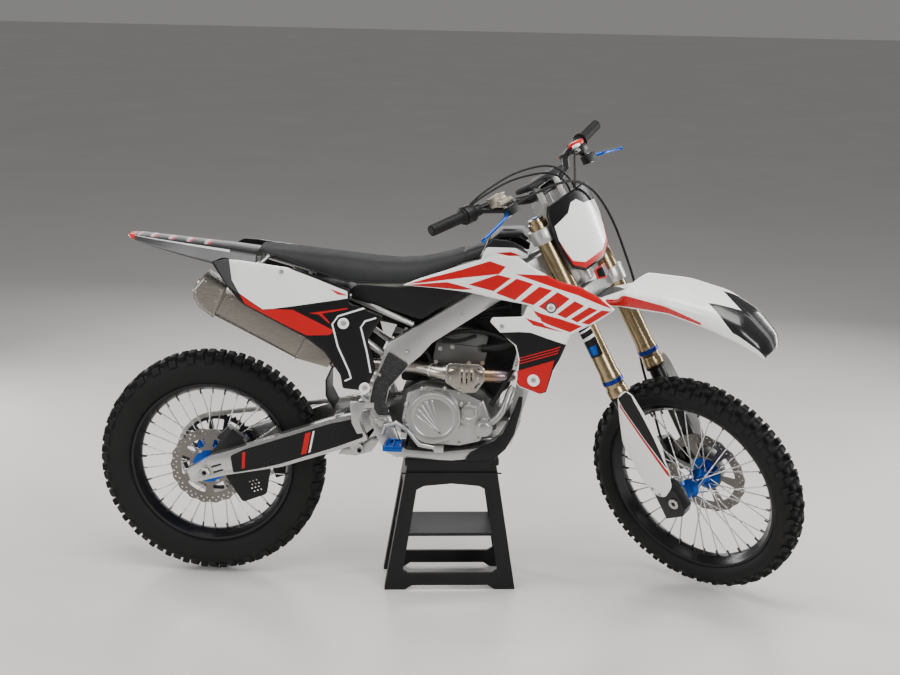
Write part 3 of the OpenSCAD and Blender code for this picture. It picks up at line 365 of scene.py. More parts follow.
# ---------- pieces ----------
def piece(name, verts, faces, body, mats, face_mats=None, angle=38, node=None):
    """A mesh piece that rides on a body. mats is one material or a list used by face_mats."""
    mesh = bpy.data.meshes.new(name)
    mesh.from_pydata([tuple(v) for v in verts], [], [tuple(f) for f in faces])
    obj = bpy.data.objects.new(name, mesh)
    bpy.context.scene.collection.objects.link(obj)
    for m in (mats if isinstance(mats, (list, tuple)) else [mats]):
        mesh.materials.append(MAT[m] if isinstance(m, str) else m)
    if face_mats is not None:
        mesh.polygons.foreach_set("material_index", [int(i) for i in face_mats])
    mesh.validate()
    mesh.shade_smooth()
    mesh.set_sharp_from_angle(angle=math.radians(angle))
    return place_on(obj, body, node)


def place_on(obj, body, node=None):
    """The piece rides on a body, and may stand for a CAD node, whose part is then hidden."""
    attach(obj, body)
    if node:
        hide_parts(node)
    return obj


def bake_modifiers(obj):
    """Turns an object with modifiers into the plain mesh that they give."""
    graph = bpy.context.evaluated_depsgraph_get()
    mesh = bpy.data.meshes.new_from_object(obj.evaluated_get(graph), depsgraph=graph)
    obj.modifiers.clear()
    obj.data = mesh
    return obj


def join(name, parts, body, node=None):
    """Several plain mesh objects made one piece, keeping their materials."""
    bm = bmesh.new()
    mats = []
    for p in parts:
        index = []
        for m in p.data.materials:
            if m not in mats:
                mats.append(m)
            index.append(mats.index(m))
        start = len(bm.faces)
        bm.from_mesh(p.data)
        bm.faces.ensure_lookup_table()
        for f in bm.faces[start:]:
            f.material_index = index[f.material_index] if index else 0
        bpy.data.objects.remove(p)
    mesh = bpy.data.meshes.new(name)
    bm.to_mesh(mesh)
    bm.free()
    for m in mats:
        mesh.materials.append(m)
    obj = bpy.data.objects.new(name, mesh)
    bpy.context.scene.collection.objects.link(obj)
    return place_on(obj, body, node)


def raw(name, verts, faces, mat, angle=38):
    """A loose mesh object, in the units of its verts, that another step uses up."""
    mesh = bpy.data.meshes.new(name)
    mesh.from_pydata([tuple(v) for v in verts], [], [tuple(f) for f in faces])
    mesh.materials.append(MAT[mat])
    mesh.shade_smooth()
    mesh.set_sharp_from_angle(angle=math.radians(angle))
    obj = bpy.data.objects.new(name, mesh)
    bpy.context.scene.collection.objects.link(obj)
    return obj


def spline(points, steps):
    """Points along a smooth curve through the given ones."""
    p = [Vector(q) for q in points]
    out = []
    for i in range(len(p) - 1):
        a, b, c, d = p[max(i - 1, 0)], p[i], p[i + 1], p[min(i + 2, len(p) - 1)]
        for k in range(steps):
            t = k / steps
            out.append(0.5 * (2 * b + (c - a) * t + (2 * a - 5 * b + 4 * c - d) * t * t
                              + (3 * b - a - 3 * c + d) * t ** 3))
    return out + [p[-1]]


def tube_mesh(points, radius, sides=14, closed=False):
    """Verts and faces of a tube. radius is a number or one for each point."""
    m = len(points)
    verts, faces = [], []
    side = None
    for i, p in enumerate(points):
        ahead = points[(i + 1) % m] if closed or i < m - 1 else p
        back = points[i - 1] if closed or i > 0 else p
        u = (ahead - back).normalized()
        if side is None:
            side = u.orthogonal().normalized()
        side = (side - u * side.dot(u)).normalized()
        up = u.cross(side)
        r = radius[i] if isinstance(radius, (list, tuple)) else radius
        for k in range(sides):
            a = 2 * math.pi * k / sides
            verts.append(p + side * (r * math.cos(a)) + up * (r * math.sin(a)))
    for i in range(m if closed else m - 1):
        j = (i + 1) % m
        for k in range(sides):
            n = (k + 1) % sides
            faces.append((i * sides + k, i * sides + n, j * sides + n, j * sides + k))
    if not closed:
        faces += [tuple(reversed(range(sides))), tuple((m - 1) * sides + k for k in range(sides))]
    return verts, faces


def tube(name, points, radius, body, mat, place=at, steps=8, sides=14, node=None):
    """A smooth round tube through points in mm, given in a place's own coordinates."""
    line = [place(*q) for q in spline(points, steps)]
    r = ([x / 1000 for x in radius] if isinstance(radius, (list, tuple)) else radius / 1000)
    if isinstance(r, list):
        r = [float(v) for v in np.interp(np.linspace(0, 1, len(line)), np.linspace(0, 1, len(r)), r)]
    v, f = tube_mesh(line, r, sides)
    return piece(name, v, f, body, mat, node=node)


def lathe_mesh(profile, place, sides):
    """Turns a closed outline of (radius, offset) points, in mm, about a place's axle."""
    n = len(profile)
    verts = [place(r * math.cos(a), y, r * math.sin(a)) for a in np.linspace(0, 2 * math.pi, sides,
             endpoint=False) for r, y in profile]
    faces = []
    for i in range(sides):
        j = (i + 1) % sides
        for k in range(n):
            m = (k + 1) % n
            faces.append((i * n + k, j * n + k, j * n + m, i * n + m))
    return verts, faces


def lathe(name, profile, place, body, mat, sides, node=None, angle=30):
    v, f = lathe_mesh(profile, place, sides)
    obj = piece(name, v, f, body, mat, node=node, angle=angle)
    return outward(obj)


def outward(obj):
    """Faces point outwards on a closed shape."""
    bm = bmesh.new()
    bm.from_mesh(obj.data)
    bmesh.ops.recalc_face_normals(bm, faces=bm.faces)
    bm.to_mesh(obj.data)
    bm.free()
    return obj


def drum(p, q, radius, mat, sides=28, lip=0.8, hollow=0):
    """A loose round bar between points in metres, its radius, lip and bore in mm."""
    u = (q - p).normalized()
    lip, length = lip / 1000, (q - p).length
    r = radius / 1000
    prof = [(r - lip, 0), (r, lip), (r, length - lip), (r - lip, length)]
    side = u.orthogonal().normalized()
    up = u.cross(side)
    verts, faces = [], []
    for rr, d in prof:
        for k in range(sides):
            a = 2 * math.pi * k / sides
            verts.append(p + u * d + side * (rr * math.cos(a)) + up * (rr * math.sin(a)))
    for i in range(3):
        for k in range(sides):
            n = (k + 1) % sides
            faces.append((i * sides + k, i * sides + n, (i + 1) * sides + n, (i + 1) * sides + k))
    faces.append(tuple(reversed(range(sides))))
    if hollow:
        start = len(verts)
        for rr, d in ((hollow / 1000, length), (hollow / 1000 * 0.96, length * 0.55)):
            for k in range(sides):
                a = 2 * math.pi * k / sides
                verts.append(p + u * d + side * (rr * math.cos(a)) + up * (rr * math.sin(a)))
        for a0, b0 in ((3 * sides, start), (start, start + sides)):
            for k in range(sides):
                n = (k + 1) % sides
                faces.append((a0 + k, a0 + n, b0 + n, b0 + k))
        faces.append(tuple(start + sides + k for k in range(sides)))
    else:
        faces.append(tuple(3 * sides + k for k in range(sides)))
    return raw("drum", verts, faces, mat)


# ---------- repeats, by geometry nodes ----------
def tree_named(name, sockets):
    """A new tree with the named inputs, and its input and output nodes."""
    tree = bpy.data.node_groups.new(name, "GeometryNodeTree")
    tree.interface.new_socket("Geometry", in_out="INPUT", socket_type="NodeSocketGeometry")
    for label, kind in sockets:
        tree.interface.new_socket(label, in_out="INPUT", socket_type=kind)
    tree.interface.new_socket("Geometry", in_out="OUTPUT", socket_type="NodeSocketGeometry")
    return tree, tree.nodes.new("NodeGroupInput"), tree.nodes.new("NodeGroupOutput")


def end_tree(tree, copies, inp, out):
    """Makes the copies real and gives them the material, at the end of a tree."""
    new, link = tree.nodes.new, tree.links.new
    solid = new("GeometryNodeRealizeInstances")
    link(copies.outputs[0], solid.inputs[0])
    paint = new("GeometryNodeSetMaterial")
    link(solid.outputs[0], paint.inputs["Geometry"])
    link(inp.outputs["Material"], paint.inputs["Material"])
    link(paint.outputs[0], out.inputs[0])


def ring_tree():
    """Count copies of a shape, turned about the local Y axis in equal steps from a start angle."""
    tree, inp, out = tree_named("repeat around an axle", [("Shape", "NodeSocketObject"),
                                ("Count", "NodeSocketInt"), ("Start", "NodeSocketFloat"),
                                ("Material", "NodeSocketMaterial")])
    new, link = tree.nodes.new, tree.links.new
    points = new("GeometryNodePoints")
    link(inp.outputs["Count"], points.inputs["Count"])
    info = new("GeometryNodeObjectInfo")
    link(inp.outputs["Shape"], info.inputs["Object"])
    share = new("ShaderNodeMath")
    share.operation = "DIVIDE"
    link(new("GeometryNodeInputIndex").outputs[0], share.inputs[0])
    link(inp.outputs["Count"], share.inputs[1])
    angle = new("ShaderNodeMath")
    angle.operation = "MULTIPLY_ADD"
    angle.inputs[1].default_value = -2 * math.pi
    link(share.outputs[0], angle.inputs[0])
    link(inp.outputs["Start"], angle.inputs[2])
    turn = new("ShaderNodeCombineXYZ")
    link(angle.outputs[0], turn.inputs["Y"])
    copies = new("GeometryNodeInstanceOnPoints")
    link(points.outputs[0], copies.inputs["Points"])
    link(info.outputs["Geometry"], copies.inputs["Instance"])
    link(turn.outputs[0], copies.inputs["Rotation"])
    end_tree(tree, copies, inp, out)
    return tree


def spots_tree():
    """A copy of a shape at each point, turned by the attribute turn and sized by the attribute size."""
    tree, inp, out = tree_named("repeat at points", [("Shape", "NodeSocketObject"),
                                ("Material", "NodeSocketMaterial")])
    new, link = tree.nodes.new, tree.links.new
    info = new("GeometryNodeObjectInfo")
    link(inp.outputs["Shape"], info.inputs["Object"])
    copies = new("GeometryNodeInstanceOnPoints")
    link(inp.outputs["Geometry"], copies.inputs["Points"])
    link(info.outputs["Geometry"], copies.inputs["Instance"])
    for attribute, socket in (("turn", "Rotation"), ("size", "Scale")):
        read = new("GeometryNodeInputNamedAttribute")
        read.data_type = "FLOAT_VECTOR"
        read.inputs["Name"].default_value = attribute
        link(read.outputs["Attribute"], copies.inputs[socket])
    end_tree(tree, copies, inp, out)
    return tree


RING, SPOTS = ring_tree(), spots_tree()
MILLIMETRE = (0.001,) * 3


def run_tree(obj, tree, values):
    """Runs a tree on an object and leaves its result as a plain mesh."""
    mod = obj.modifiers.new("repeat", "NODES")
    mod.node_group = tree
    for item in tree.interface.items_tree:
        if item.in_out == "INPUT" and item.name in values:
            mod[item.identifier] = values[item.name]
    return bake_modifiers(obj)


def ring(shape, count, start, mat, place):
    """A loose ring of copies about an axle, moved to its place. The shape is used up."""
    seed = bpy.data.objects.new("ring", bpy.data.meshes.new("ring"))
    bpy.context.scene.collection.objects.link(seed)
    run_tree(seed, RING, {"Shape": shape, "Count": count, "Start": start, "Material": MAT[mat]})
    bpy.data.objects.remove(shape)
    seed.data.transform(MATRICES[place])
    return seed


def spots(shape, points, turns, sizes, mat):
    """Loose copies of a shape at points in metres, turned by Euler angles."""
    mesh = bpy.data.meshes.new("spots")
    mesh.from_pydata([tuple(p) for p in points], [], [])
    for key, rows in (("turn", turns), ("size", sizes)):
        data = mesh.attributes.new(key, "FLOAT_VECTOR", "POINT")
        data.data.foreach_set("vector", [float(c) for r in rows for c in r])
    seed = bpy.data.objects.new("spots", mesh)
    bpy.context.scene.collection.objects.link(seed)
    return run_tree(seed, SPOTS, {"Shape": shape, "Material": MAT[mat]})


def turn_to(direction):
    """Euler angles that turn local +Z to a direction."""
    return Vector((0, 0, 1)).rotation_difference(Vector(direction)).to_matrix().to_euler()


def screw_shape(kind="hex"):
    """A screw head of unit radius, standing on z = 0."""
    verts, faces = [], []
    sides = 6 if kind == "hex" else 20
    rings = [(1.35, 0, 20), (1.35, 0.18, 20), (1.0, 0.2, sides), (1.0, 0.85, sides), (0.86, 1.0, sides)]
    if kind == "round":
        rings = [(1.0, 0, 20), (1.0, 0.35, 20), (0.78, 0.72, 20), (0.5, 0.82, 20)]
    start = []
    for r, z, n in rings:
        start.append(len(verts))
        verts += [(r * math.cos(2 * math.pi * k / n), r * math.sin(2 * math.pi * k / n), z) for k in range(n)]
    for (_, _, n0), (_, _, n1), s0, s1 in zip(rings, rings[1:], start, start[1:]):
        if n0 == n1:
            faces += [(s0 + k, s0 + (k + 1) % n0, s1 + (k + 1) % n0, s1 + k) for k in range(n0)]
        else:
            faces.append(tuple(s0 + k for k in range(n0)))
            faces.append(tuple(reversed(range(s1, s1 + n1))))
    faces.append(tuple(start[-1] + k for k in range(rings[-1][2])))
    faces.append(tuple(reversed(range(rings[0][2]))))
    return raw("screw", verts, faces, "bolt", 30)


def screws(name, places, body, kind="hex"):
    """Screw heads: each is a point in metres, the way it faces, and its radius in mm."""
    shape = screw_shape(kind)
    obj = spots(shape, [p for p, d, r in places], [turn_to(d) for p, d, r in places],
                [(r / 1000,) * 3 for p, d, r in places], "bolt")
    bpy.data.objects.remove(shape)
    obj.name = name
    return place_on(obj, body)


# ---------- skins: flat outlines with inlaid colours, lifted onto a curved surface ----------
def resample(poly, step):
    """A closed outline with points no further apart than step."""
    out = []
    for i, p in enumerate(poly):
        q = poly[(i + 1) % len(poly)]
        n = max(1, int(math.ceil(math.dist(p, q) / step)))
        out += [(p[0] + (q[0] - p[0]) * k / n, p[1] + (q[1] - p[1]) * k / n) for k in range(n)]
    return out


def rounded(poly, radius, steps=4):
    """A closed outline with its corners rounded."""
    out = []
    for i, p in enumerate(poly):
        a, b, c = Vector(poly[i - 1]), Vector(p), Vector(poly[(i + 1) % len(poly)])
        cut = min(radius, (a - b).length * 0.42, (c - b).length * 0.42)
        s, e = b + (a - b).normalized() * cut, b + (c - b).normalized() * cut
        out += [tuple(s * (1 - t) ** 2 + b * (2 * t * (1 - t)) + e * t * t)
                for t in [k / steps for k in range(steps + 1)]]
    return out


def inside(poly, pts):
    """Which points lie inside a closed outline."""
    x, y = pts[:, 0], pts[:, 1]
    hit = np.zeros(len(pts), bool)
    for (x0, y0), (x1, y1) in zip(poly, poly[1:] + poly[:1]):
        if y0 != y1:
            hit ^= ((y0 > y) != (y1 > y)) & (x < (x1 - x0) * (y - y0) / (y1 - y0) + x0)
    return hit


def edge_distance(poly, pts):
    """How far each point is from an outline."""
    best = np.full(len(pts), 1e9)
    for a, b in zip(poly, poly[1:] + poly[:1]):
        a, d = np.array(a, float), np.array(b, float) - np.array(a, float)
        t = np.clip(((pts - a) @ d) / max(d @ d, 1e-9), 0, 1)
        best = np.minimum(best, np.linalg.norm(pts - a - t[:, None] * d, axis=1))
    return best


def flat_mesh(outline, holes, cuts, step, rim):
    """A flat triangle mesh of an outline, with holes left out and the cuts' edges kept."""
    outline = resample([tuple(p) for p in outline], step)
    loops = [outline] + [list(h) for h in holes] + [resample(c, step) for c in cuts]
    pts, edges = [], []
    for loop in loops:
        s = len(pts)
        pts += loop
        edges += [(s + i, s + (i + 1) % len(loop)) for i in range(len(loop))]
    o = np.array(outline)
    extra = [np.array(np.meshgrid(np.arange(o[:, 0].min(), o[:, 0].max(), step),
                                  np.arange(o[:, 1].min(), o[:, 1].max(), step))).reshape(2, -1).T]
    tangent = np.roll(o, -1, 0) - np.roll(o, 1, 0)
    length = np.maximum(np.linalg.norm(tangent, axis=1), 1e-9)
    normal = np.stack([-tangent[:, 1], tangent[:, 0]], 1) / length[:, None]
    for d in rim:
        for s in (1, -1):
            q = o + normal * (s * d)
            extra.append(q[inside(outline, q) & (edge_distance(outline, q) > 0.8 * d)])
    keep = []
    for e in extra:
        if len(e):
            ok = inside(outline, e) & (edge_distance(outline, e) > 1.2)
            for h in list(holes) + list(cuts):
                ok &= edge_distance([tuple(p) for p in h], e) > 1.0
            keep.append(e[ok])
    pts += [tuple(p) for p in np.vstack(keep)] if keep else []
    out = delaunay_2d_cdt([Vector(p) for p in pts], edges, [], 0, 1e-3)
    p = np.array([tuple(v) for v in out[0]])
    t = np.array([f for f in out[2] if len(f) == 3])
    mid = p[t].mean(1)
    ok = inside(outline, mid)
    for h in holes:
        ok &= ~inside([tuple(q) for q in h], mid)
    return outline, p, t[ok], mid[ok]


EDGE_ROLL = 5.0


def skin(name, outline, lift, body, mats, regions=(), holes=(), thick=3.0, step=12, curl=2.0, node=None):
    """A closed shell whose outer face follows lift(u, v, depth). regions are (outline, material index)."""
    rim = (1.6, 4.5) if curl else ()
    outline, p, tris, mid = flat_mesh(outline, holes, [r[0] for r in regions], step, rim)
    index = np.zeros(len(tris), int)
    for poly, m in regions:
        index[inside([tuple(q) for q in poly], mid)] = m
    d = edge_distance(outline, p)
    for h in holes:
        d = np.minimum(d, edge_distance([tuple(q) for q in h], p))
    sink = curl * np.clip(1 - d / EDGE_ROLL, 0, 1) ** 2
    n = len(p)
    verts = [lift(u, v, s) for (u, v), s in zip(p, sink)] + [lift(u, v, thick) for u, v in p]
    faces = [tuple(t) for t in tris] + [(t[2] + n, t[1] + n, t[0] + n) for t in tris]
    count = {}
    for t, m in zip(tris, index):
        for a, b in ((t[0], t[1]), (t[1], t[2]), (t[2], t[0])):
            count[(a, b)] = m
    paint = list(index) + [0] * len(tris)
    for (a, b), m in count.items():
        if (b, a) not in count:
            faces.append((b, a, a + n, b + n))
            paint.append(m)
    used = sorted({i for f in faces for i in f})
    remap = {old: i for i, old in enumerate(used)}
    obj = piece(name, [verts[i] for i in used], [tuple(remap[i] for i in f) for f in faces], body, mats,
                face_mats=paint, node=node, angle=34)
    return outward(obj)


def circle(x, z, r, n=20):
    return [(x + r * math.cos(2 * math.pi * k / n), z + r * math.sin(2 * math.pi * k / n)) for k in range(n)]


BODY_OF = {node: body for body, nodes in frame["record"]["behaviour"]["bodies"].items() for node in nodes}


def soften(node, width, mat, segments=2):
    """A CAD node's shape with its edges rounded, width in mm, or only shaded smooth at width 0."""
    src = frame["nodes"][node]
    bm = bmesh.new()
    bm.from_mesh(src.data)
    bmesh.ops.remove_doubles(bm, verts=bm.verts, dist=2e-5)
    bmesh.ops.dissolve_limit(bm, angle_limit=math.radians(2), verts=bm.verts, edges=bm.edges)
    bmesh.ops.recalc_face_normals(bm, faces=bm.faces)
    mesh = bpy.data.meshes.new(node + "_body")
    bm.to_mesh(mesh)
    bm.free()
    mesh.materials.clear()
    mesh.materials.append(MAT[mat])
    obj = bpy.data.objects.new(node + "_body", mesh)
    bpy.context.scene.collection.objects.link(obj)
    if width:
        mod = obj.modifiers.new("round", "BEVEL")
        mod.width, mod.segments = width / 1000, segments
        mod.limit_method, mod.angle_limit = "ANGLE", math.radians(32)
        mod.use_clamp_overlap = True
        bake_modifiers(obj)
    obj.data.shade_smooth()
    obj.data.set_sharp_from_angle(angle=math.radians(42))
    return place_on(obj, BODY_OF[node], node)


# ---------- wheels ----------
TREAD_TOP = 350
REAR_BEAD, REAR_WIDTH = 241, 112
FRONT_BEAD, FRONT_WIDTH = 267, 98
SPOKES = 36


def block(y, top, tilt, w, l, h):
    """A tread knob: axial place, top radius, outward tilt in degrees, width, length and height."""
    a = math.radians(tilt)
    n, t = Vector((math.cos(a), math.sin(a), 0)), Vector((-math.sin(a), math.cos(a), 0))
    c = Vector((top, y, 0))
    verts = []
    for depth, k in ((h, 1.12), (1.4, 1.0), (0, 0.86)):
        for sw, sl in ((-1, -1), (1, -1), (1, 1), (-1, 1)):
            verts.append(c - n * depth + t * (sw * w * k / 2) + Vector((0, 0, sl * l * k / 2)))
    faces = [(0, 1, 5, 4), (1, 2, 6, 5), (2, 3, 7, 6), (3, 0, 4, 7), (4, 5, 9, 8), (5, 6, 10, 9),
             (6, 7, 11, 10), (7, 4, 8, 11), (8, 9, 10, 11), (3, 2, 1, 0)]
    return outward(raw("knob", verts, faces, "tyre", 20))


def carcass(bead, tip, w):
    """Half of a tyre's section without its knobs, and its mirror image."""
    s = tip - bead
    half = [(bead + 1, .25 * w), (bead + 13, .27 * w), (bead + 15, .37 * w), (bead + 22, .42 * w),
            (bead + s * .34, .455 * w), (bead + s * .5, .468 * w), (tip - 38, .458 * w), (tip - 28, .42 * w),
            (tip - 20, .34 * w), (tip - 15, .2 * w), (tip - 14, 0)]
    return half + [(r, -y) for r, y in reversed(half[:-1])]


def tyre(name, place, body, bead, w, count, rows):
    """A tyre. Rows of knobs are (start, side, top, tilt, width, length, height)."""
    v, f = lathe_mesh(carcass(bead, TREAD_TOP, w), PLACES[place], 120)
    parts = [outward(raw("carcass", v, f, "tyre", 50))]
    for start, y, top, tilt, width, length, height in rows:
        for side in (1, -1):
            parts.append(ring(block(side * y, top, side * tilt, width, length, height), count,
                              2 * math.pi * start / count, "tyre", place))
    return join(name + "_tread", parts, body, name)


tyre("rear_tyre", "rear", "rear_wheel", REAR_BEAD, REAR_WIDTH, 36,
     [(0.0, 11.5, TREAD_TOP, 4, 20, 20, 17), (0.5, 30, 346.5, 16, 17, 19, 16), (0.5, 9, 349, 3, 9, 15, 15),
      (0.02, 47.5, 331, 52, 22, 22, 17)])
tyre("front_tyre", "front", "front_wheel", FRONT_BEAD, FRONT_WIDTH, 40,
     [(0.0, 10.5, TREAD_TOP, 4, 17, 17, 15), (0.5, 26, 346.8, 15, 15, 17, 15), (0.0, 41, 333.5, 50, 19, 18, 15)])


def wheel_ring(name, place, body, bead, w):
    """A black hoop with the spoke nipples on its inside."""
    half = [(bead - 15, 0), (bead - 14, 9), (bead - 6, .19 * w), (bead - 2, .25 * w), (bead + 3, .27 * w + 4),
            (bead + 11, .27 * w + 4.2), (bead + 13, .27 * w + 3), (bead + 13, .27 * w + 1),
            (bead + 2, .27 * w - .5), (bead, .2 * w), (bead - 9, 9), (bead - 9.5, 0)]
    profile = half + [(r, -y) for r, y in reversed(half[1:-1])]
    v, f = lathe_mesh(profile, PLACES[place], 120)
    hoop = outward(raw("hoop", v, f, "rim", 28))
    nipple = drum(Vector((bead - 13, 0, 0)), Vector((bead - 29, 0, 0)), 3200, "nipple", 8, 600)
    nipples = ring(nipple, SPOKES, 0, "nipple", place)
    return join(name + "_hoop", [hoop, nipples], body, name)


wheel_ring("rear_rim", "rear", "rear_wheel", REAR_BEAD, REAR_WIDTH)
wheel_ring("front_rim", "front", "front_wheel", FRONT_BEAD, FRONT_WIDTH)

lathe("rear_hub_shell", [(11, -82), (20, -82), (23, -72), (58, -67), (58, -62), (32, -57), (26, -46), (34, -37),
      (34, -31), (23, -22), (20, 0), (23, 22), (34, 31), (34, 37), (28, 46), (30, 60), (70, 64.5), (70, 66.5),
      (30, 67), (24, 74), (20, 82), (11, 82)], rear, "rear_wheel", "blue", 72, "rear_hub")
lathe("front_hub_shell", [(11, -82), (19, -82), (24, -78), (24, -62), (20, -58), (20, -44), (30, -36), (30, -30),
      (21, -20), (18, 0), (21, 20), (30, 30), (30, 36), (24, 46), (26, 56), (52, 58), (52, 62), (26, 63), (20, 70),
      (19, 82), (11, 82)], front, "front_wheel", "blue", 72, "front_hub")


def sector(r0, r1, a0, a1, n=9):
    """A rounded window between two radii and two angles in degrees."""
    arc = [math.radians(a0 + (a1 - a0) * k / (n - 1)) for k in range(n)]
    return rounded([(r1 * math.cos(a), r1 * math.sin(a)) for a in arc]
                   + [(r0 * math.cos(a), r0 * math.sin(a)) for a in reversed(arc)], 7, 2)


def wave(r, depth, waves, n):
    """A wavy circle of n points."""
    return [((r + depth * math.cos(waves * a)) * math.cos(a), (r + depth * math.cos(waves * a)) * math.sin(a))
            for a in [2 * math.pi * k / n for k in range(n)]]


def brake_disc(name, place, y, outer, window, inner, body):
    """A wavy disc with six windows and two rings of small holes."""
    holes = [circle(0, 0, inner, 40)]
    holes += [sector(inner + 14, window, 60 * k - 21, 60 * k + 21) for k in range(6)]
    for k in range(36):
        a = math.radians(10 * k)
        for r, shift in ((outer - 8, 0), (outer - 17, 5)):
            b = a + math.radians(shift)
            holes.append(circle(r * math.cos(b), r * math.sin(b), 2.7, 8))
    return skin(name + "_plate", wave(outer - 2, 2, 18, 180), lambda u, v, s: place(u, y - 2 + s, v), body,
                "disc", holes=holes, thick=4, step=14, curl=0, node=name)


brake_disc("rear_disc", rear, -66, 120, 88, 48, "rear_wheel")
brake_disc("front_disc", front, 62, 135, 102, 42, "front_wheel")

REAR_SPROCKET, SPROCKET_TEETH = 126, 50
skin("rear_sprocket_plate", wave(REAR_SPROCKET, 4, SPROCKET_TEETH, 400),
     lambda u, v, s: rear(u, 67 + s, v), "rear_wheel", "darkmetal",
     holes=[circle(0, 0, 40, 40)] + [sector(74, 110, 30 * k - 10, 30 * k + 10, 5) for k in range(12)],
     thick=6, step=12, curl=0, node="rear_sprocket")
SIXTHS = [math.pi / 3 * k for k in range(6)]
screws("rear_hub_screws", [(rear(52 * math.cos(a), -67.5, 52 * math.sin(a)), (0, -1, 0), 4.2)
       for a in SIXTHS] + [(rear(62 * math.cos(a), 73, 62 * math.sin(a)), (0, 1, 0), 5) for a in SIXTHS],
       "rear_wheel")
disc_side = steered(0, 1, 0) - steered(0, 0, 0)
screws("front_hub_screws", [(front(46 * math.cos(a), 63.5, 46 * math.sin(a)), disc_side, 4)
       for a in SIXTHS], "front_wheel")


# ---------- chain ----------
CHAIN_SIDE, CHAIN_PITCH = 70, 15.875
FRONT_SPROCKET, FRONT_SPROCKET_AT = 33, (-88, 556)
PIN_GAP, PLATE_THICK = 7.9, 1.8


def chain_loop():
    """The places of the pins round both sprockets, as (forward, up)."""
    a, b, big, small = Vector(REAR_AXLE), Vector(FRONT_SPROCKET_AT), REAR_SPROCKET, FRONT_SPROCKET
    d = b - a
    base, lean = math.atan2(d.y, d.x), math.acos((big - small) / d.length)
    path = []
    for c, r, t0, t1 in ((a, big, base + lean, base + 2 * math.pi - lean), (b, small, base - lean, base + lean)):
        path += [c + Vector((math.cos(t), math.sin(t))) * r for t in np.linspace(t0, t1, 60)]
    path.append(path[0])
    lengths = np.cumsum([0] + [(q - p).length for p, q in zip(path, path[1:])])
    n = 2 * round(lengths[-1] / CHAIN_PITCH / 2)
    marks = np.linspace(0, lengths[-1], n, endpoint=False)
    xs, zs = np.interp(marks, lengths, [p.x for p in path]), np.interp(marks, lengths, [p.y for p in path])
    return list(zip(xs, zs))


def link_shape(half):
    """Two side plates with a roller between them, half apart, pointing along local x."""
    verts, faces = [], []
    for y0 in (half, -half - PLATE_THICK):
        ring_pts = []
        for k in range(10):
            a = math.radians(-90 + 36 * k if k < 5 else 90 + 36 * (k - 5))
            ring_pts.append(((PIN_GAP if k < 5 else -PIN_GAP) + 6.2 * math.cos(a), 6.2 * math.sin(a)))
        s = len(verts)
        verts += [(x, y0, z) for x, z in ring_pts] + [(x, y0 + PLATE_THICK, z) for x, z in ring_pts]
        faces += [tuple(s + k for k in range(10)), tuple(s + 10 + k for k in reversed(range(10)))]
        faces += [(s + k, s + 10 + k, s + 10 + (k + 1) % 10, s + (k + 1) % 10) for k in range(10)]
    s = len(verts)
    ends = [(PIN_GAP + 4.6 * math.cos(math.pi * k / 4), 4.6 * math.sin(math.pi * k / 4)) for k in range(8)]
    verts += [(x, -9.4, z) for x, z in ends] + [(x, 9.4, z) for x, z in ends]
    faces += [(s + k, s + 8 + k, s + 8 + (k + 1) % 8, s + (k + 1) % 8) for k in range(8)]
    faces += [tuple(s + k for k in range(8)), tuple(s + 8 + k for k in reversed(range(8)))]
    return outward(raw("link", verts, faces, "bolt", 35))


def chain():
    """The whole chain: wide and narrow links in turn."""
    pts = chain_loop()
    parts = []
    for start, half in ((0, 6.4), (1, 4.4)):
        where, turns = [], []
        for i in range(start, len(pts), 2):
            (x0, z0), (x1, z1) = pts[i], pts[(i + 1) % len(pts)]
            where.append(at((x0 + x1) / 2, CHAIN_SIDE, (z0 + z1) / 2))
            turns.append((0, -math.atan2(z1 - z0, x1 - x0), 0))
        shape = link_shape(half)
        parts.append(spots(shape, where, turns, [MILLIMETRE] * len(where), "bolt"))
        bpy.data.objects.remove(shape)
    return join("chain_links", parts, "frame", "drive_chain")


chain()


# ---------- swingarm and rear end ----------
ARM_SLOPE = math.radians(18.5)


def arm(s, y, v):
    """A point of the swingarm: along it from the axle, left, and above its middle line."""
    return at(REAR_AXLE[0] + s * math.cos(ARM_SLOPE) - v * math.sin(ARM_SLOPE), y,
              REAR_AXLE[1] + s * math.sin(ARM_SLOPE) + v * math.cos(ARM_SLOPE))


soften("swingarm", 3.2, "arm")
decal = rounded([(82, -27), (92, 27), (140, 34), (420, 38), (500, 31), (500, -30), (412, -36), (230, -40),
                 (160, -36)], 8)
for sgn, label in ((-1, "right"), (1, "left")):
    skin("arm_panel_" + label, decal, lambda u, v, s, g=sgn: arm(u, g * (124.7 - s), v), "frame",
         ["black", "red", "white"], regions=[([(300, -30), (318, -30), (352, 30), (334, 30)], 1),
         ([(324, -30), (330, -30), (364, 30), (358, 30)], 2), ([(112, -22), (122, -22), (140, 26), (130, 26)], 1)],
         thick=0.6, step=22, curl=0)
    for v0 in (-9, 9):
        slot_edge = rounded([(24, v0 - 3), (56, v0 - 3), (56, v0 + 3), (24, v0 + 3)], 3, 3)
        skin("axle_slot_%s_%d" % (label, v0 > 0), slot_edge,
             lambda u, v, s, g=sgn: arm(u, g * (124.5 - s), v), "frame", "darkmetal", thick=0.4, step=9, curl=0)
soften("rear_axle", 1, "bolt")
soften("pivot_bolt", 1.5, "bolt")
soften("rear_caliper", 2.5, "darkmetal")
lathe("axle_nut", [(9, -140), (15, -140), (18, -138), (18, -133), (9, -133)], rear, "frame", "bolt", 6)
guard_holes = [circle(112 + 11 * i + 4 * (j % 2), -76 - 11 * j, 2.6, 10) for i in range(3) for j in range(4)]
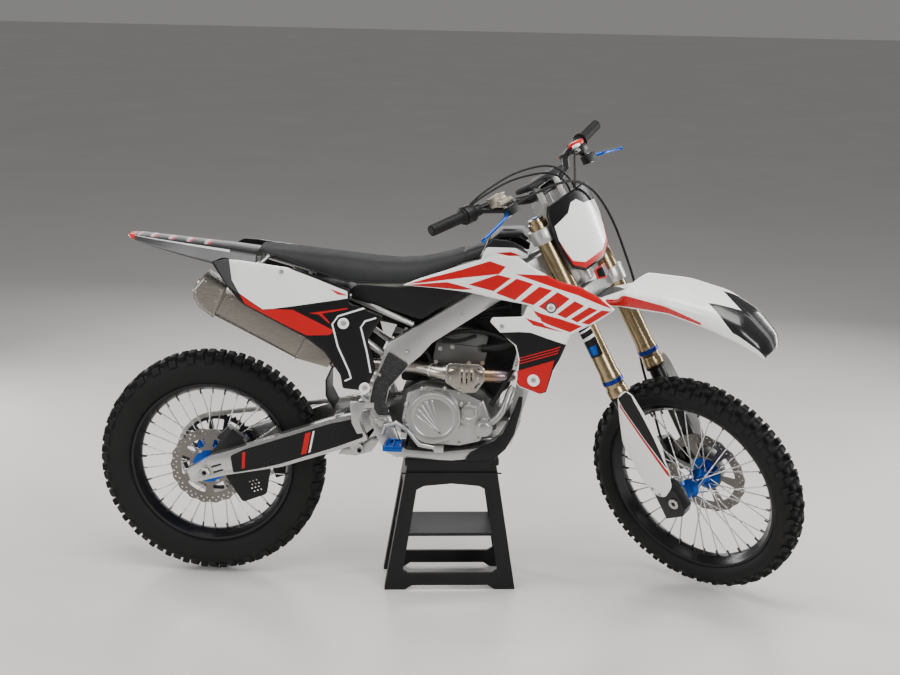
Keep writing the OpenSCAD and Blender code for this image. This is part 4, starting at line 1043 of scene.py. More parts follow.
skin("disc_fin", rounded([(46, -34), (70, -132), (150, -128), (196, -40)], 10),
     lambda u, v, s: arm(u, -94.5 + s, v), "frame", "plastic", holes=guard_holes, thick=4, step=12, curl=1, node="rear_disc_guard")
soften("chain_guide", 2, "plastic")
soften("shock_linkage", 2.5, "silver")
screws("linkage_screws", [(at(x, y, z), (0, 1 if y > 0 else -1, 0), 8) for x, z in ((-250, 428), (-262, 470))
       for y in (-44, 44)], "frame")


def shock():
    """The shock absorber and its white coil spring."""
    p, q = at(-262, 0, 470), at(-130, 0, 778)
    u = (q - p).normalized()
    body = [drum(p, p + u * 0.1, 16, "silver"), drum(p + u * 0.085, p + u * 0.098, 38, "silver"),
            drum(p + u * 0.285, p + u * 0.3, 36, "silver"), drum(p + u * 0.09, p + u * 0.3, 12, "bolt"),
            drum(p + u * 0.29, q, 24, "gold")]
    side, turns = u.orthogonal().normalized(), 7.5
    up = u.cross(side)
    line = [p + u * (0.1 + 0.184 * k / 150) + side * (0.031 * math.cos(2 * math.pi * turns * k / 150))
            + up * (0.031 * math.sin(2 * math.pi * turns * k / 150)) for k in range(151)]
    v, f = tube_mesh(line, 0.0058, 10)
    body.append(raw("spring", v, f, "white", 60))
    return join("shock_and_spring", body, "frame", "rear_shock")


shock()

# ---------- frame, engine ----------
soften("main_frame", 3.5, "silver")
soften("subframe", 1.5, "silver")
for sgn, label in ((-1, "right"), (1, "left")):
    skin("grip_guard_" + label, rounded([(-155, 762), (-94, 724), (-154, 650), (-163, 600), (-150, 566),
         (-186, 566), (-209, 611), (-197, 662)], 8),
         lambda u, v, s, g=sgn: at(u, g * (127 - s), v), "frame", "grip", thick=4.6, step=11, curl=1.6, node="frame_guards" if sgn < 0 else None)
    screws("spar_screws_" + label, [(at(x, sgn * y, z), (0, sgn, 0), r) for x, y, z, r in
           ((-190, 123, 548, 7), (-180, 123, 690, 5), (-100, 124, 760, 6), (300, 62, 1040, 6), (60, 110, 880, 4))],
           "frame")
soften("engine", 2.5, "cast")
soften("engine_covers", 2.2, "cover")


def clutch(r, y, t):
    """A point about the clutch's axis: ahead, left, and up."""
    return at(-16 + r, y, 574 + t)


lathe("clutch_cap", [(0, -159), (57, -159), (60, -161), (64, -162.5), (72, -162), (78, -158), (81, -148),
      (82, -136), (0, -136)], clutch, "frame", "cover", 72)
for k, (a0, w) in enumerate(((97, 3.4), (116, 4.6), (134, 5), (152, 4.4), (171, 3))):
    a = math.radians(a0)
    root, tip = Vector((22, -49)), Vector((56 * math.cos(a), 56 * math.sin(a)))
    n = Vector((root.y - tip.y, tip.x - root.x)).normalized()
    outline = [tuple(root - n * 0.8), tuple(root + n * 0.8), tuple(tip + n * w), tuple(tip - n * w)]
    skin("clutch_rib_%d" % k, rounded(outline, 0.7, 2), lambda u, v, s: clutch(u, -163 + s, v), "frame", "cover",
         thick=4.4, step=9, curl=2.0)
lathe("filter_cap", [(0, -147), (15, -147), (17, -149), (23, -148), (26, -143), (26, -130), (0, -130)],
      lambda r, y, t: at(88 + r, y, 588 + t), "frame", "cover", 40)
lathe("pump_cap", [(0, -152), (14, -152), (20, -149), (25, -142), (27, -130), (0, -130)],
      lambda r, y, t: at(132 + r, y, 545 + t), "frame", "cover", 40)
lathe("ignition_cap", [(0, 134.5), (34, 134.5), (38, 132), (56, 132), (60, 128), (61, 112), (0, 112)],
      lambda r, y, t: at(26 + r, y, 566 + t), "frame", "cover", 56)
rim_screws = [(clutch(88 * math.cos(a), -138, 88 * math.sin(a)), (0, -1, 0), 4.4)
              for a in [math.radians(25 + 45 * k) for k in range(8)]]
join("clutch_bosses", [drum(p + Vector((0, 0.02, 0)), p, 7.5, "cover", 16) for p, _, _ in rim_screws],
     "frame")
case_screws = [(at(x, -133, z), (0, -1, 0), 4.2) for x, z in ((-104, 566), (-90, 634), (-44, 654), (56, 646),
               (120, 614), (142, 566), (116, 506), (60, 490), (-60, 494), (-98, 520))]
cylinder_screws = [(at(x, -73, z), (0, -1, 0), 5) for x, z in ((-18, 722), (30, 770), (80, 722), (122, 766),
                   (-6, 764), (120, 724))]
left_screws = [(at(26 + 66 * math.cos(a), 113, 566 + 66 * math.sin(a)), (0, 1, 0), 4.2)
               for a in [math.radians(20 + 60 * k) for k in range(6)]]
screws("engine_screws", rim_screws + case_screws + cylinder_screws + left_screws
       + [(at(88, -149, 588 + d), (0, -1, 0), 3.4) for d in (-32, 32)], "frame")
ribs = []
for i in range(5):
    z = 662 + i * 13
    corners = [at(x, y, level) for level in (z, z + 4)
               for x, y in ((-40, -66), (108, -66), (108, 66), (-40, 66))]
    ribs.append(raw("fin", corners, [(0, 1, 2, 3), (4, 7, 6, 5), (0, 4, 5, 1), (1, 5, 6, 2), (2, 6, 7, 3),
                (3, 7, 4, 0)], "cast"))
join("cylinder_fins", ribs, "frame")
soften("radiators", 1.5, "silver")
slat = raw("slat", [(x, y, z) for z in (0, 1.6) for x, y in ((-22, 0), (22, 0), (20, 6), (-20, 6))],
           [(3, 2, 1, 0), (4, 5, 6, 7), (0, 1, 5, 4), (1, 2, 6, 5), (2, 3, 7, 6), (3, 0, 4, 7)], "plastic")
RADIATOR_LEAN, RADIATOR_SIDE = 44 / 174, 151
where = [(236 + (z - 725) * RADIATOR_LEAN, z) for z in range(742, 896, 9)]
slats = [spots(slat, [at(x, g * RADIATOR_SIDE, z) for x, z in where],
               [(0, -math.atan(RADIATOR_LEAN) * 0.4, 0 if g < 0 else math.pi)] * len(where),
               [MILLIMETRE] * len(where), "plastic") for g in (-1, 1)]
bpy.data.objects.remove(slat)
join("radiator_slats", slats, "frame")

# pipes and hoses
tube("coolant_pipe_bright", [(153.3, -136, 560.7), (172, -135, 576), (186, -132, 597), (196, -124, 622),
     (206, -110, 650), (216, -104, 662)], 10.8, "frame", "cover", steps=6, node="coolant_pipes")
for label, path, r in (("vent_hose", [(150, -128, 610), (176, -120, 650), (196, -112, 690), (214, -104, 720)], 7),
                       ("radiator_hose", [(120, -76, 770), (160, -92, 776), (200, -100, 790), (232, -104, 810)], 12),
                       ("breather_hose", [(-10, -70, 800), (60, -84, 822), (130, -86, 820), (190, -92, 800)], 6),
                       ("left_hose", [(110, 78, 760), (160, 92, 772), (210, 100, 800), (240, 104, 820)], 12),
                       ("wiring_loom", [(-60, -64, 790), (-20, -78, 800), (40, -80, 790), (100, -70, 806)], 5)):
    tube(label, path, r, "frame", "hose", steps=6)

# exhaust
HEADER = [(116, 0, 686), (180, -4, 690), (210, -48, 692), (196, -92, 694), (150, -110, 696), (10, -112, 700),
          (-90, -72, 706), (-200, -71, 706), (-262, -92, 710)]
tube("header_pipe", HEADER, 20, "frame", "header", steps=9, sides=28, node="exhaust_header")


def clamp(name, p, q, radius):
    """A round band on the exhaust pipe."""
    return join(name, [drum(p, q, radius, "bolt", 36, 1.0)], "frame")


clamp("header_band_rear", at(16, -112, 700), at(6, -112, 700.3), 22.5)
clamp("header_band_mid", at(-26, -100, 702), at(-32, -97.5, 702.3), 22.5)
clamp("header_flange", at(116, 0, 686), at(122, 0, 686.3), 27)
shield = rounded([(16, 680), (18, 732), (30, 738), (118, 736), (131, 724), (131, 688), (106, 650), (66, 645)], 6)
slots = [rounded([(x, z0), (x + 5, z0), (x + 5, z1), (x, z1)], 2.4, 3) for x, z0, z1 in
         ((62, 682, 720), (76, 678, 716), (90, 690, 722))]
slots += [rounded([(28, 712), (44, 722), (42, 727), (26, 717)], 2, 3), rounded([(108, 724), (122, 712), (125, 716),
          (111, 729)], 2, 3), rounded([(104, 664), (118, 678), (115, 682), (101, 668)], 2, 3)]


def shield_lift(u, v, s):
    """The heat shield's curved face, which wraps the pipe above and below."""
    return at(u, -146 + 0.006 * abs(v - 700) ** 1.8 + s, v)


skin("heat_shield", shield, shield_lift, "frame", "cap", holes=slots, thick=2.2, step=8, curl=1.6)
screws("shield_rivets", [(at(30, -146, 694), (0, -1, 0), 4.6), (at(112, -145, 694), (0, -1, 0), 4.6),
       (at(60, -145, 658), (0, -1, 0), 3.2)], "frame", kind="round")
soften("silencer", 3.5, "can", segments=3)


CAN_BACK, CAN_RISE = 0.886, 0.464


def can(n, h, y):
    """A place on the silencer: along it, above its axis, and across the machine."""
    return at(-292 - CAN_BACK * n + CAN_RISE * h, y, 712 + CAN_RISE * n + CAN_BACK * h)


for label, n in (("front", 132), ("rear", 396)):
    section = [(-47, -86), (-33, -72.5), (33, -72.5), (47, -86), (47, -138), (33, -158), (-33, -158), (-47, -138)]
    v, f = tube_mesh([can(n, h * 1.012, -115 + (y + 115) * 1.02) for h, y in
                      [tuple(p) for p in rounded(section, 8, 3)]], 0.0016, 8, closed=True)
    piece("silencer_weld_" + label, v, f, "frame", "cap")
skin("end_cap_face_right", rounded([(402, -46), (408, 47), (476, 47), (486, 0), (474, -22), (452, -38)], 6),
     lambda u, v, s: can(u, v, -162.6 + s), "frame", "cap", thick=1.4, step=12, curl=1)
join("tail_outlet", [drum(can(470, 0, -112), can(492, 0, -112), 22, "cap", 36, 1.2, 18)], "frame")
screws("silencer_screws", [(can(n, h, -164), (0, -1, 0), 2.6) for n, h in ((412, -38), (414, 0), (416, 38),
       (466, 40), (478, -4), (456, -30))] + [(can(n, 30, -159), (0, -1, 0), 2.2) for n in (150, 376)],
       "frame", kind="round")
tube("intake_boot", [(-300, 0, 880), (-200, 0, 866), (-110, 0, 842), (-40, 0, 812)], [44, 40, 34, 30], "frame",
     "hose", steps=6, sides=24)
join("throttle_body", [drum(at(-70, 0, 826), at(-6, 0, 792), 31, "cast", 32),
     drum(at(-40, -30, 812), at(-40, -54, 812), 17, "plastic", 24),
     drum(at(-40, 30, 812), at(-40, 50, 812), 13, "darkmetal", 24)], "frame")
join("spark_lead", [drum(at(56, 0, 828), at(50, 0, 860), 13, "hose", 20),
     drum(at(50, 0, 860), at(38, 0, 892), 7, "hose", 16)], "frame")
for label, path, r in (("loom_right", [(-150, -60, 800), (-80, -70, 770), (-40, -74, 740), (-34, -76, 690)], 6),
                       ("loom_top", [(-100, -40, 850), (0, -52, 862), (100, -58, 880), (200, -62, 900)], 8),
                       ("coil_lead", [(90, -40, 850), (140, -60, 862), (190, -70, 840), (214, -92, 800)], 5),
                       ("drain_hose", [(-120, -40, 620), (-100, -66, 560), (-96, -72, 500), (-110, -60, 450)], 5),
                       ("loom_left", [(-150, 60, 800), (-60, 74, 780), (40, 82, 800), (160, 92, 840)], 7)):
    tube(label, path, r, "frame", "hose", steps=6)
# A thick black slab down the middle of the machine, behind the hoses and the throttle body: a dark block put in as
# painted shade for the gap between the parts.
skin("inner_shield", rounded([(-126, 650), (-126, 800), (150, 900), (230, 950), (228, 760), (200, 640),
     (150, 600), (0, 650)], 12), lambda u, v, s: at(u, -30 + s, v), "frame", "plastic", thick=60, step=24, curl=0)


# ---------- chassis controls ----------
soften("footpegs", 1.6, "blue")
tooth = raw("tooth", [(-3, -2, 0), (3, -2, 0), (3, 2, 0), (-3, 2, 0), (0, -2, 6), (0, 2, 6)],
            [(3, 2, 1, 0), (0, 1, 4), (2, 3, 5), (1, 2, 5, 4), (3, 0, 4, 5)], "steel", 20)
spikes = [at(x, g * y, 498) for g in (-1, 1) for y in range(144, 214, 12) for x in (-156, -108)]
teeth_of_pegs = spots(tooth, spikes, [(0, 0, 0)] * len(spikes), [MILLIMETRE] * len(spikes), "steel")
bpy.data.objects.remove(tooth)
join("peg_teeth", [teeth_of_pegs], "frame")
soften("brake_pedal", 1.2, "silver")
soften("shift_lever", 1, "silver")
soften("rear_master_cylinder", 2, "silver")
soften("fuel_tank", 4, "tank")
soften("air_box", 4, "plastic")
soften("mud_flap", 1.5, "plastic")
soften("engine_guard", 2.2, "plastic")

# ---------- stand ----------
soften("paddock_stand", 2.6, "stand")
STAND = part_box("paddock_stand")
top_z = STAND[1][2]
stand_turn = math.radians(7.5)
RIDGE_SIDE, RIDGE_HEIGHT = 101.7, 0.374


def stand_at(u, v, z):
    """u along the stand, v across it, in mm from its middle."""
    return Vector(((24 + u * math.cos(stand_turn) - v * math.sin(stand_turn)) / 1000,
                   (PLANE_Y + u * math.sin(stand_turn) + v * math.cos(stand_turn)) / 1000, z))


def bar_between(p, q, w, h, mat):
    """A loose bar with chamfered top edges, lying from p to q."""
    u = (q - p).normalized()
    side_way = Vector((0, 0, 1)).cross(u).normalized() * (w / 2000)
    rise = Vector((0, 0, h / 1000))
    sect = [side_way, side_way + rise * 0.55, side_way * 0.6 + rise, side_way * -0.6 + rise,
            rise * 0.55 - side_way, -side_way]
    verts = [p + s for s in sect] + [q + s for s in sect]
    faces = [tuple(range(6)), tuple(reversed(range(6, 12)))]
    faces += [(k, (k + 1) % 6, 6 + (k + 1) % 6, 6 + k) for k in range(6)]
    return outward(raw("bar", verts, faces, mat, 25))


ridges = [bar_between(stand_at(-130, v, top_z - 0.0005), stand_at(130, v, top_z - 0.0005), 9, 0.9, "stand")
          for v in (-96, -84, 84, 96)]
ridges.append(bar_between(stand_at(-150, -RIDGE_SIDE, RIDGE_HEIGHT), stand_at(150, -RIDGE_SIDE, RIDGE_HEIGHT),
              4, 4, "stand"))
join("stand_ridges", ridges, "frame")


# ---------- bodywork ----------
def plan(rows):
    """How far out a panel stands at each place along the machine."""
    return lambda x: float(np.interp(x, [r[0] for r in rows], [r[1] for r in rows]))


SHROUD = plan([[-130, -118], [60, -130], [210, -160], [330, -186], [520, -192]])
SIDE = plan([[-700, -132], [-600, -168], [-420, -172], [-300, -160], [-150, -132]])
WING = [(-116, 962), (-67, 984), (17, 1014), (99, 1044), (154, 1065), (218, 1065), (265, 1036), (338, 1003),
        (404, 987), (460, 958), (503, 927), (450, 888), (377, 846), (300, 868), (253, 927), (170, 936), (82, 950),
        (-20, 958)]
LOW = [(253, 928), (238, 890), (150, 881), (143, 868), (172, 840), (219, 802), (229, 762), (222, 694), (232, 680),
       (295, 661), (312, 668), (339, 748), (378, 847), (360, 900)]
WING_RED = [[(-100, 967), (-30, 990), (60, 1017), (139, 1047), (186, 1034), (166, 1011), (46, 990), (-60, 972)],
            [(-110, 963), (14, 978), (93, 961), (60, 957), (-20, 960)],
            [(77, 974), (162, 1009), (202, 1002), (152, 960)], [(158, 955), (218, 1002), (267, 990), (214, 938)],
            [(230, 936), (284, 984), (322, 976), (268, 928)], [(283, 925), (336, 972), (372, 954), (322, 908)],
            [(336, 906), (386, 948), (414, 935), (362, 896)], [(376, 894), (428, 932), (452, 924), (396, 885)],
            [(407, 884), (463, 924), (490, 922), (429, 880)],
            [(212, 1015), (308, 1018), (388, 999), (447, 967), (494, 929), (464, 938), (394, 965), (298, 992)],
            [(262, 893), (262, 915), (291, 905), (344, 894), (410, 874), (376, 855), (320, 872)]]


def bulge(u, v):
    """The wing swells a little along its middle."""
    return 3.0 * math.exp(-((v - (985 - 0.1 * u)) / 38) ** 2)


for sgn, label in ((-1, "right"), (1, "left")):
    def on_shroud(u, v, s, g=sgn):
        return at(u, g * (-SHROUD(u) + bulge(u, v) - s), v)

    def on_low(u, v, s, g=sgn):
        return at(u, g * (-SHROUD(u) - 0.6 - s), v)

    skin("shroud_wing_" + label, rounded(WING, 5), on_shroud, "frame", ["white", "red", "grey"],
         regions=[(p, 1) for p in WING_RED] + [(circle(319, 925, 17, 18), 2), (circle(319, 925, 12, 18), 0)],
         thick=4, step=15, curl=2.4,
         node="radiator_shrouds" if sgn < 0 else None)
    stripes = [([(226 + 2 * k, 746 + 9 * k), (343 + 3 * k, 790 + 9 * k), (344 + 3 * k, 794 + 9 * k),
                 (226 + 2 * k, 749 + 9 * k)], 1) for k in (0, 1, 2)]
    skin("shroud_low_" + label, rounded(LOW, 6), on_low, "frame", ["white", "red", "black"],
         regions=[([(172, 838), (228, 845), (263, 846), (372, 816), (331, 740), (313, 672), (295, 665), (234, 683),
                    (226, 694), (233, 763), (222, 804)], 2)] + stripes
         + [([(227, 728), (334, 770), (312, 676), (294, 666), (236, 684), (227, 696)], 1),
            ([(245, 888), (360, 862), (372, 852), (270, 868)], 1)],
         holes=[circle(275, 704, 8, 16)], thick=4, step=13, curl=2.2)
    lathe("dish_%s_275" % label, [(7, 0.5), (9, -1.5), (17, -2.2), (18, -.5), (16, 2), (7, 2)],
          lambda r, y, t, g=sgn: at(275 + r, g * (-SHROUD(275 + r) - y), 704 + t), "frame", "white", 32)
    screws("shroud_screws_" + label, [(at(x, sgn * (-SHROUD(x) + d), z), (0, sgn, 0), r) for x, z, d, r in
           ((275, 704, -3, 6.5), (319, 925, 2.2, 6), (179, 858, 0, 6.5))], "frame", kind="round")

PANEL = [(-636, 1035), (-676, 1016), (-628, 950), (-578, 899), (-396, 808), (-339, 763), (-293, 694), (-286, 653),
         (-219, 644), (-190, 712), (-214, 800), (-169, 872), (-268, 912), (-264, 952), (-417, 1010)]
PANEL_WHITE = [(-618, 1031), (-524, 1028), (-452, 1016), (-369, 985), (-273, 946), (-272, 925), (-393, 906),
               (-489, 890), (-519, 887), (-543, 902), (-588, 932), (-610, 970)]
PANEL_RED = [(-588, 930), (-543, 900), (-519, 885), (-489, 889), (-429, 889), (-352, 850), (-308, 827),
             (-325, 815), (-390, 813), (-465, 848), (-572, 901)]


def line_band(points, w):
    """A thin closed band along an open line."""
    left, right = [], []
    for i, p in enumerate(points):
        a, b = Vector(points[max(i - 1, 0)]), Vector(points[min(i + 1, len(points) - 1)])
        d = (b - a).normalized()
        n = Vector((-d.y, d.x)) * (w / 2)
        left.append(tuple(Vector(p) + n))
        right.append(tuple(Vector(p) - n))
    return left + right[::-1]


BEHIND_LEG = line_band([(-222, 896), (-299, 872), (-316, 848), (-300, 781), (-268, 706), (-262, 684),
                        (-280, 676)], 5)
BEFORE_LEG = line_band([(-190, 866), (-222, 856), (-234, 838), (-216, 762), (-205, 700)], 5)
for sgn, label in ((-1, "right"), (1, "left")):
    def on_side(u, v, s, g=sgn):
        return at(u, g * (-SIDE(u) - s), v)

    skin("side_panel_" + label, rounded(PANEL, 6), on_side, "frame", ["black", "white", "red", "grey"],
         regions=[([(-668, 1018), (-634, 1030), (-618, 1028), (-606, 955), (-588, 930), (-626, 954)], 3),
                  (PANEL_WHITE, 1), (PANEL_RED, 2), (BEHIND_LEG, 1), (BEFORE_LEG, 1),
                  ([(-384, 880), (-272, 897), (-272, 893), (-346, 879), (-322, 852), (-327, 851), (-355, 876)], 2),
                  ([(-326, 955), (-276, 936), (-275, 933), (-300, 936)], 2)],
         thick=4, step=13, curl=2.2, node="side_panels" if sgn < 0 else None)
    for x, z in ((-284, 850), (-222, 654)):
        lathe("washer_%s_%d" % (label, -x), [(7, 1), (9, -1), (15, -2), (16.5, -.5), (15, 2), (7, 2)],
              lambda r, y, t, g=sgn, x=x, z=z: at(x + r, g * (-SIDE(x + r) + .8 - y), z + t), "frame", "white", 32)
    screws("side_screws_" + label, [(at(x, sgn * (-SIDE(x) - d), z), (0, sgn, 0), r) for x, z, d, r in
           ((-284, 850, 1, 6.5), (-222, 654, 1, 6.5), (-463, 1002, 0, 7))], "frame", kind="round")
    skin("tank_cover_" + label, rounded([(-264, 951), (-242, 958), (-134, 954), (-64, 962), (0, 990), (63, 990),
         (63, 946), (-60, 858), (-156, 888), (-233, 906), (-268, 916)], 8),
         lambda u, v, s, g=sgn: at(u, g * (110.6 + 0.012 * (60 - abs(v - 915)) - s), v), "frame", "plastic",
         thick=3.2, step=14, curl=2, node="tank_covers" if sgn < 0 else None)
    skin("top_wing_" + label, rounded([(108, 1034), (127, 1080), (143, 1097), (198, 1092), (248, 1065),
         (246, 1046), (205, 1038)], 5),
         lambda u, v, s, g=sgn: at(u, g * (75 - 0.22 * max(0, v - 1060) - s), v), "frame",
         ["white", "grey", "red"], regions=[([(150, 1058), (196, 1062), (226, 1052), (190, 1050)], 2),
         ([(199, 1090), (246, 1064), (245, 1056), (204, 1076)], 1)],
         thick=4, step=12, curl=2)
soften("top_cover", 3, "plastic")
lathe("filler_cap", [(0, 24), (20, 24), (26, 21), (30, 12), (30, 0), (0, 0)],
      lambda r, y, t: at(190 + r, t, 1094 + y), "frame", "plastic", 24)


# ---------- rear fender ----------
def subdivide(obj):
    """One subdivision, applied, and smooth shading."""
    smooth = obj.modifiers.new("smooth", "SUBSURF")
    smooth.levels = smooth.render_levels = 1
    bake_modifiers(obj)
    obj.data.shade_smooth()


def grid_piece(name, rows, body, mat, node=None, thick=4.0):
    """A smooth shell through rows of points, with a UV map along and across it."""
    m, n = len(rows), len(rows[0])
    verts = [Vector(p) for r in rows for p in r]
    faces = [(i * n + k, i * n + k + 1, (i + 1) * n + k + 1, (i + 1) * n + k) for i in range(m - 1)
             for k in range(n - 1)]
    mesh = bpy.data.meshes.new(name)
    mesh.from_pydata([tuple(v) for v in verts], [], faces)
    obj = bpy.data.objects.new(name, mesh)
    bpy.context.scene.collection.objects.link(obj)
    mesh.materials.append(MAT[mat])
    layer = mesh.uv_layers.new(name="UVMap")
    for loop in mesh.loops:
        i, k = divmod(loop.vertex_index, n)
        layer.data[loop.index].uv = (i / (m - 1), k / (n - 1))
    outward(obj)
    wall = obj.modifiers.new("wall", "SOLIDIFY")
    wall.thickness, wall.offset = thick / 1000, -1
    subdivide(obj)
    obj.data.set_sharp_from_angle(angle=math.radians(50))
    return place_on(obj, body, node)


def between(rows, x):
    """Interpolates a table on its first column, which rises."""
    columns = list(zip(*rows))
    return [float(np.interp(x, columns[0], c)) for c in columns[1:]]


# along the machine, top, lower edge, half width
FENDER = [(-948, 1073, 1069, 56), (-870, 1067, 1046, 70), (-740, 1056, 1014, 84), (-640, 1048, 995, 100),
          (-556, 1038, 980, 108)]
TAIL_ROUNDS_FROM = -910
rows = []
stations = [-956, -952, -944, -932, -918] + list(range(-902, -556, 26)) + [-556]
for x in stations:
    top, edge, half = between(FENDER, x)
    if x < TAIL_ROUNDS_FROM:
        half *= math.sqrt(max(0.1, 1 - ((TAIL_ROUNDS_FROM - x) / 48) ** 2))
        top -= 3 * ((TAIL_ROUNDS_FROM - x) / 46) ** 2
    ring_pts = []
    for k in range(-10, 11):
        a = abs(k) / 10
        y = math.copysign(half * a, k)
        z = top - (top - edge) * (0.12 * (a / 0.6) ** 2 if a < 0.6 else 0.12 + 0.88 * (a - 0.6) / 0.4)
        ring_pts.append(at(x, y, z - 1))
    rows.append(ring_pts)
grid_piece("rear_fender_shell", rows, "frame", "rear_fender", "rear_fender")


# ---------- seat ----------
# along the machine, top, lower edge, half width, depth of the underside
SEAT = [(-552, 1050, 1042, 58, 6), (-520, 1046, 1030, 70, 16), (-438, 1040, 1006, 86, 24),
        (-389, 1036, 988, 90, 27), (-288, 1028, 958, 92, 28), (-200, 1020, 955, 90, 28), (-137, 1017, 958, 87, 28),
        (-67, 1023, 966, 82, 28), (0, 1038, 999, 76, 26), (60, 1057, 1026, 70, 22), (104, 1073, 1042, 64, 16),
        (122, 1079, 1074, 58, 8)]


def seat():
    """The seat: a closed crowned form, rounded over its edges, with a sewn band near the front."""
    xs = sorted(set([float(v) for v in np.linspace(-552, 122, 78)] + [60.0, 57.0, 63.0]))
    verts, around = [], 28
    for x in xs:
        top, bottom, half, drop = between(SEAT, x)
        groove = 2.2 * math.exp(-((x - 58) / 3.0) ** 2)
        end = min(1, math.sqrt(max(0.03, (x + 552) / 30)), math.sqrt(max(0.03, (122 - x) / 16)))
        for k in range(around):
            a = 2 * math.pi * k / around
            c, s = math.cos(a), math.sin(a)
            y = half * math.copysign(abs(c) ** 0.55, c)
            if s > 0:
                z = bottom + drop * 0.25 + (top - bottom - drop * 0.25) * abs(s) ** 0.62
                y *= 1 - 0.05 * s
            else:
                z = bottom + drop * 0.25 - drop * 0.25 * abs(s) ** 0.5
            mid = (top + bottom) / 2
            z = mid + (z - mid) * (0.6 + 0.4 * end)
            wrinkle = 0.9 * math.sin(x * 0.11 + 2.2 * c) * math.exp(-((x + 300) / 90) ** 2) * max(0, abs(c) - 0.3)
            y = (y - math.copysign(groove, c)) * (0.86 + 0.14 * end) + wrinkle
            verts.append(at(x, y, z - groove * max(0, s)))
    n, m = around, len(xs)
    faces = [(i * n + k, i * n + (k + 1) % n, (i + 1) * n + (k + 1) % n, (i + 1) * n + k) for i in range(m - 1)
             for k in range(n)]
    faces += [tuple(range(n)), tuple((m - 1) * n + k for k in reversed(range(n)))]
    mesh = bpy.data.meshes.new("seat_cushion")
    mesh.from_pydata([tuple(v) for v in verts], [], faces)
    obj = bpy.data.objects.new("seat_cushion", mesh)
    bpy.context.scene.collection.objects.link(obj)
    for key in ("seat", "seat_front"):
        mesh.materials.append(MAT[key])
    mesh.polygons.foreach_set("material_index", [1 if xs[min(i // n, m - 2)] >= 57 else 0
                              for i in range(len(faces))])
    uv = mesh.uv_layers.new(name="UVMap")
    for loop in mesh.loops:
        i, k = divmod(loop.vertex_index, n)
        uv.data[loop.index].uv = (i / m, k / n)
    outward(obj)
    subdivide(obj)
    place_on(obj, "frame", "seat")


seat()
for sgn in (-1, 1):
    line = [at(x, sgn * (half + 0.6), bottom + 5) for x in range(-540, 110, 12)
            for _, bottom, half, _ in [between(SEAT, x)]]
    v, f = tube_mesh(line, 0.0022, 8)
    piece("seat_piping_%s" % ("right" if sgn < 0 else "left"), v, f, "frame", "seat_front")


# ---------- fork and bars ----------
def leg(e, y, h):
    """A point of the fork legs: ahead of their middle line, left, and up."""
    return steered(LEG_AHEAD + e, y, h)


soften("triple_clamps", 2.6, "silver")
for sgn, label in ((-1, "right"), (1, "left")):
    def about(r, hh, t, g=sgn):
        return leg(r, g * LEG_SIDE + t, hh)

    lathe("fork_tube_" + label, [(0, 360), (27, 360), (31, 364), (31.5, 384), (29, 390), (29, 398), (31, 402),
          (31.5, 426), (29.5, 436), (28.5, 440), (28.5, 931), (23, 932), (23, 943), (0, 943)], about, "steering",
          "gold", 56, node="fork_tubes" if sgn < 0 else None, angle=35)
    lathe("fork_band_" + label, [(31.5, 405), (32.2, 406), (32.2, 418), (31.5, 419), (30, 412)], about, "steering",
          "ano_blue_band", 56)
    lathe("fork_seal_" + label, [(24.5, 352), (29, 353), (30, 360), (24.5, 361)], about, "steering", "hose", 48)
    lathe("fork_cap_" + label, [(0, 946), (9, 946), (12, 944), (12, 938), (0, 938)], about, "steering", "blue", 24)
    strip = rounded([(-62, 500), (62, 500), (62, 640), (-62, 640)], 6)
    skin("fork_strip_" + label, [(math.radians(u) * 29, v) for u, v in strip],
         lambda u, v, s, g=sgn: leg((28.9 - s) * math.sin(u / 29),
                                    g * (LEG_SIDE + (28.9 - s) * math.cos(u / 29)), v),
         "steering", ["black", "blue", "white"], regions=[([(-14, 506), (18, 508), (22, 536), (-8, 534)], 1),
         ([(-40, 548), (40, 562), (40, 572), (-40, 558)], 2), ([(-40, 574), (40, 588), (40, 594), (-40, 580)], 2)],
         thick=0.4, step=7, curl=0)
soften("fork_sliders", 2, "darkmetal")
soften("front_axle", 1, "bolt")

GUARD = [(45, 371), (12, 298), (-19, 223), (-13, 108), (11, 42), (42, 28), (85, 58), (117, 194), (107, 312),
         (100, 366), (82, 384)]
for sgn, label in ((-1, "right"), (1, "left")):
    k = 1.0 if sgn < 0 else 0.55

    def on_guard(u, v, s, g=sgn, k=k):
        swell = 7 * (1 - ((u - 50) / 75) ** 2)
        return steered(u * k, g * (136 + swell * 0.5 - s), v)

    skin("fork_guard_" + label, rounded(GUARD, 14), on_guard, "steering", ["white", "red", "black"],
         regions=[([(46, 366), (84, 380), (96, 366), (100, 318), (104, 220), (100, 118), (74, 214), (48, 330)], 2),
                  ([(45, 352), (38, 338), (60, 232), (92, 92), (99, 106), (72, 214), (46, 330)], 1),
                  ([(96, 350), (100, 344), (113, 214), (109, 212)], 0)],
         thick=3.4, step=11, curl=2.6, node="fork_guards" if sgn < 0 else None)
screws("fork_screws", [(steered(e, g * 139, h), tuple(steered(0, g, 0) - steered(0, 0, 0)), 4.5) for g in (-1, 1)
       for e, h in ((14, 64), (30, 42))], "steering")

